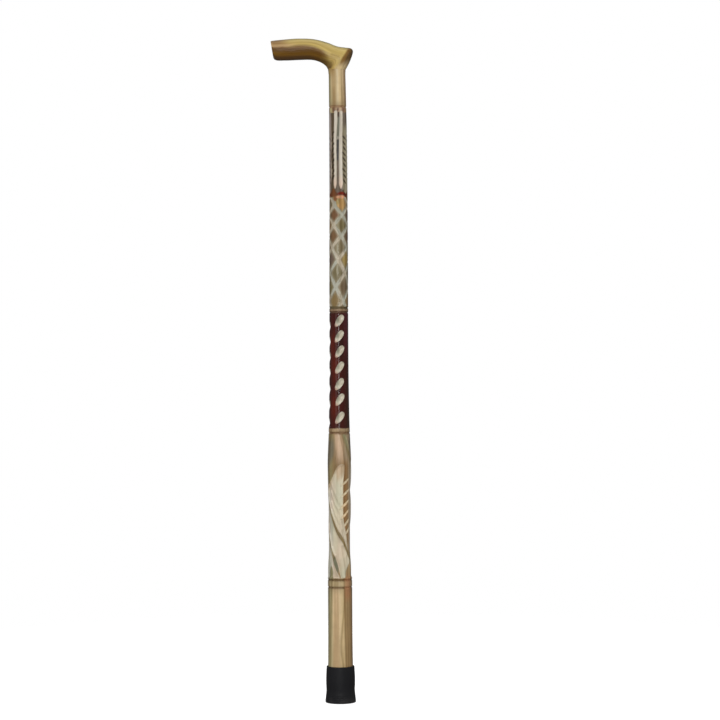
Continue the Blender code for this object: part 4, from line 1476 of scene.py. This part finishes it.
world = bpy.data.worlds.new("studio")
bpy.context.scene.world = world
world.use_nodes = True
tree = world.node_tree
tree.nodes.clear()
around_room = place_node(tree, "TexCoord").outputs["Generated"]
upward = place_node(tree, "SeparateXYZ", {0: around_room}).outputs["Z"]
room_light = ramped(tree, upward, -0.5, 0.6, 0.07, 0.17)
seen = place_node(tree, "LightPath").outputs["Is Camera Ray"]
strength = maths(tree, "MAXIMUM", room_light, seen)
backdrop = place_node(tree, "Background", {"Color": (1, 1, 1, 1), "Strength": strength})
output = place_node(tree, "OutputWorld")
tree.links.new(backdrop.outputs[0], output.inputs["Surface"])

CANE_MIDDLE = (0.0, 0.0, 0.45)
CANE_FOOT = (0.0, 0.0, 0.0)
# A light is (name, turn, distance, height, size, power, aim, whether the varnish mirrors it)
SOFTBOXES = (
    ("key", -9, 3.2, 0.8, (1.3, 1.6), 66, CANE_MIDDLE, False),
    ("strip", -1, 2.6, 0.6, (0.09, 1.8), 6, CANE_MIDDLE, True),
    ("left_box", -34, 2.6, 0.5, (0.40, 1.4), 1.5, CANE_MIDDLE, True),
    ("left_fill", -80, 2.8, 0.8, (1.2, 1.6), 9, CANE_MIDDLE, False),
    ("right_fill", 72, 2.8, 0.8, (1.2, 1.6), 15, CANE_MIDDLE, False),
    ("back_fill", 180, 2.8, 0.8, (1.2, 1.6), 60, CANE_MIDDLE, False),
    ("overhead", 0, 0.25, 2.4, (1.6, 1.6), 5, CANE_FOOT, True),
)
for name, turn, distance, level, size, power, aim, mirrored in SOFTBOXES:
    lamp = bpy.data.lights.new(name, "AREA")
    lamp.shape = "RECTANGLE"
    lamp.size, lamp.size_y = size
    lamp.energy = power
    softbox = bpy.data.objects.new(name, lamp)
    turn = math.radians(turn)
    softbox.location = (distance * math.sin(turn), -distance * math.cos(turn), level)
    aimed = (Vector(aim) - softbox.location).to_track_quat("-Z", "Y")
    softbox.rotation_euler = aimed.to_euler()
    softbox.visible_glossy = mirrored
    bpy.context.collection.objects.link(softbox)

# Camera: it stands level with the cane's middle, in front of it, as in the photograph, and is
# rolled a little, so that the cane leans slightly to the left in the picture.

CAMERA_PLACE = Vector((0.02888, -2.8, 0.43))
CAMERA_AIM = Vector((0.02888, 0.0, 0.46285))
CAMERA_LENS = 103.21
CAMERA_ROLL = math.radians(-0.3507)
camera_data = bpy.data.cameras.new("camera")
camera_data.lens = CAMERA_LENS
camera = bpy.data.objects.new("camera", camera_data)
camera.location = CAMERA_PLACE
aimed = (CAMERA_AIM - CAMERA_PLACE).to_track_quat("-Z", "Y").to_matrix()
camera.rotation_euler = (aimed @ Matrix.Rotation(CAMERA_ROLL, 3, "Z")).to_euler()
bpy.context.collection.objects.link(camera)
bpy.context.scene.camera = camera
bpy.context.scene.view_settings.view_transform = "Standard"
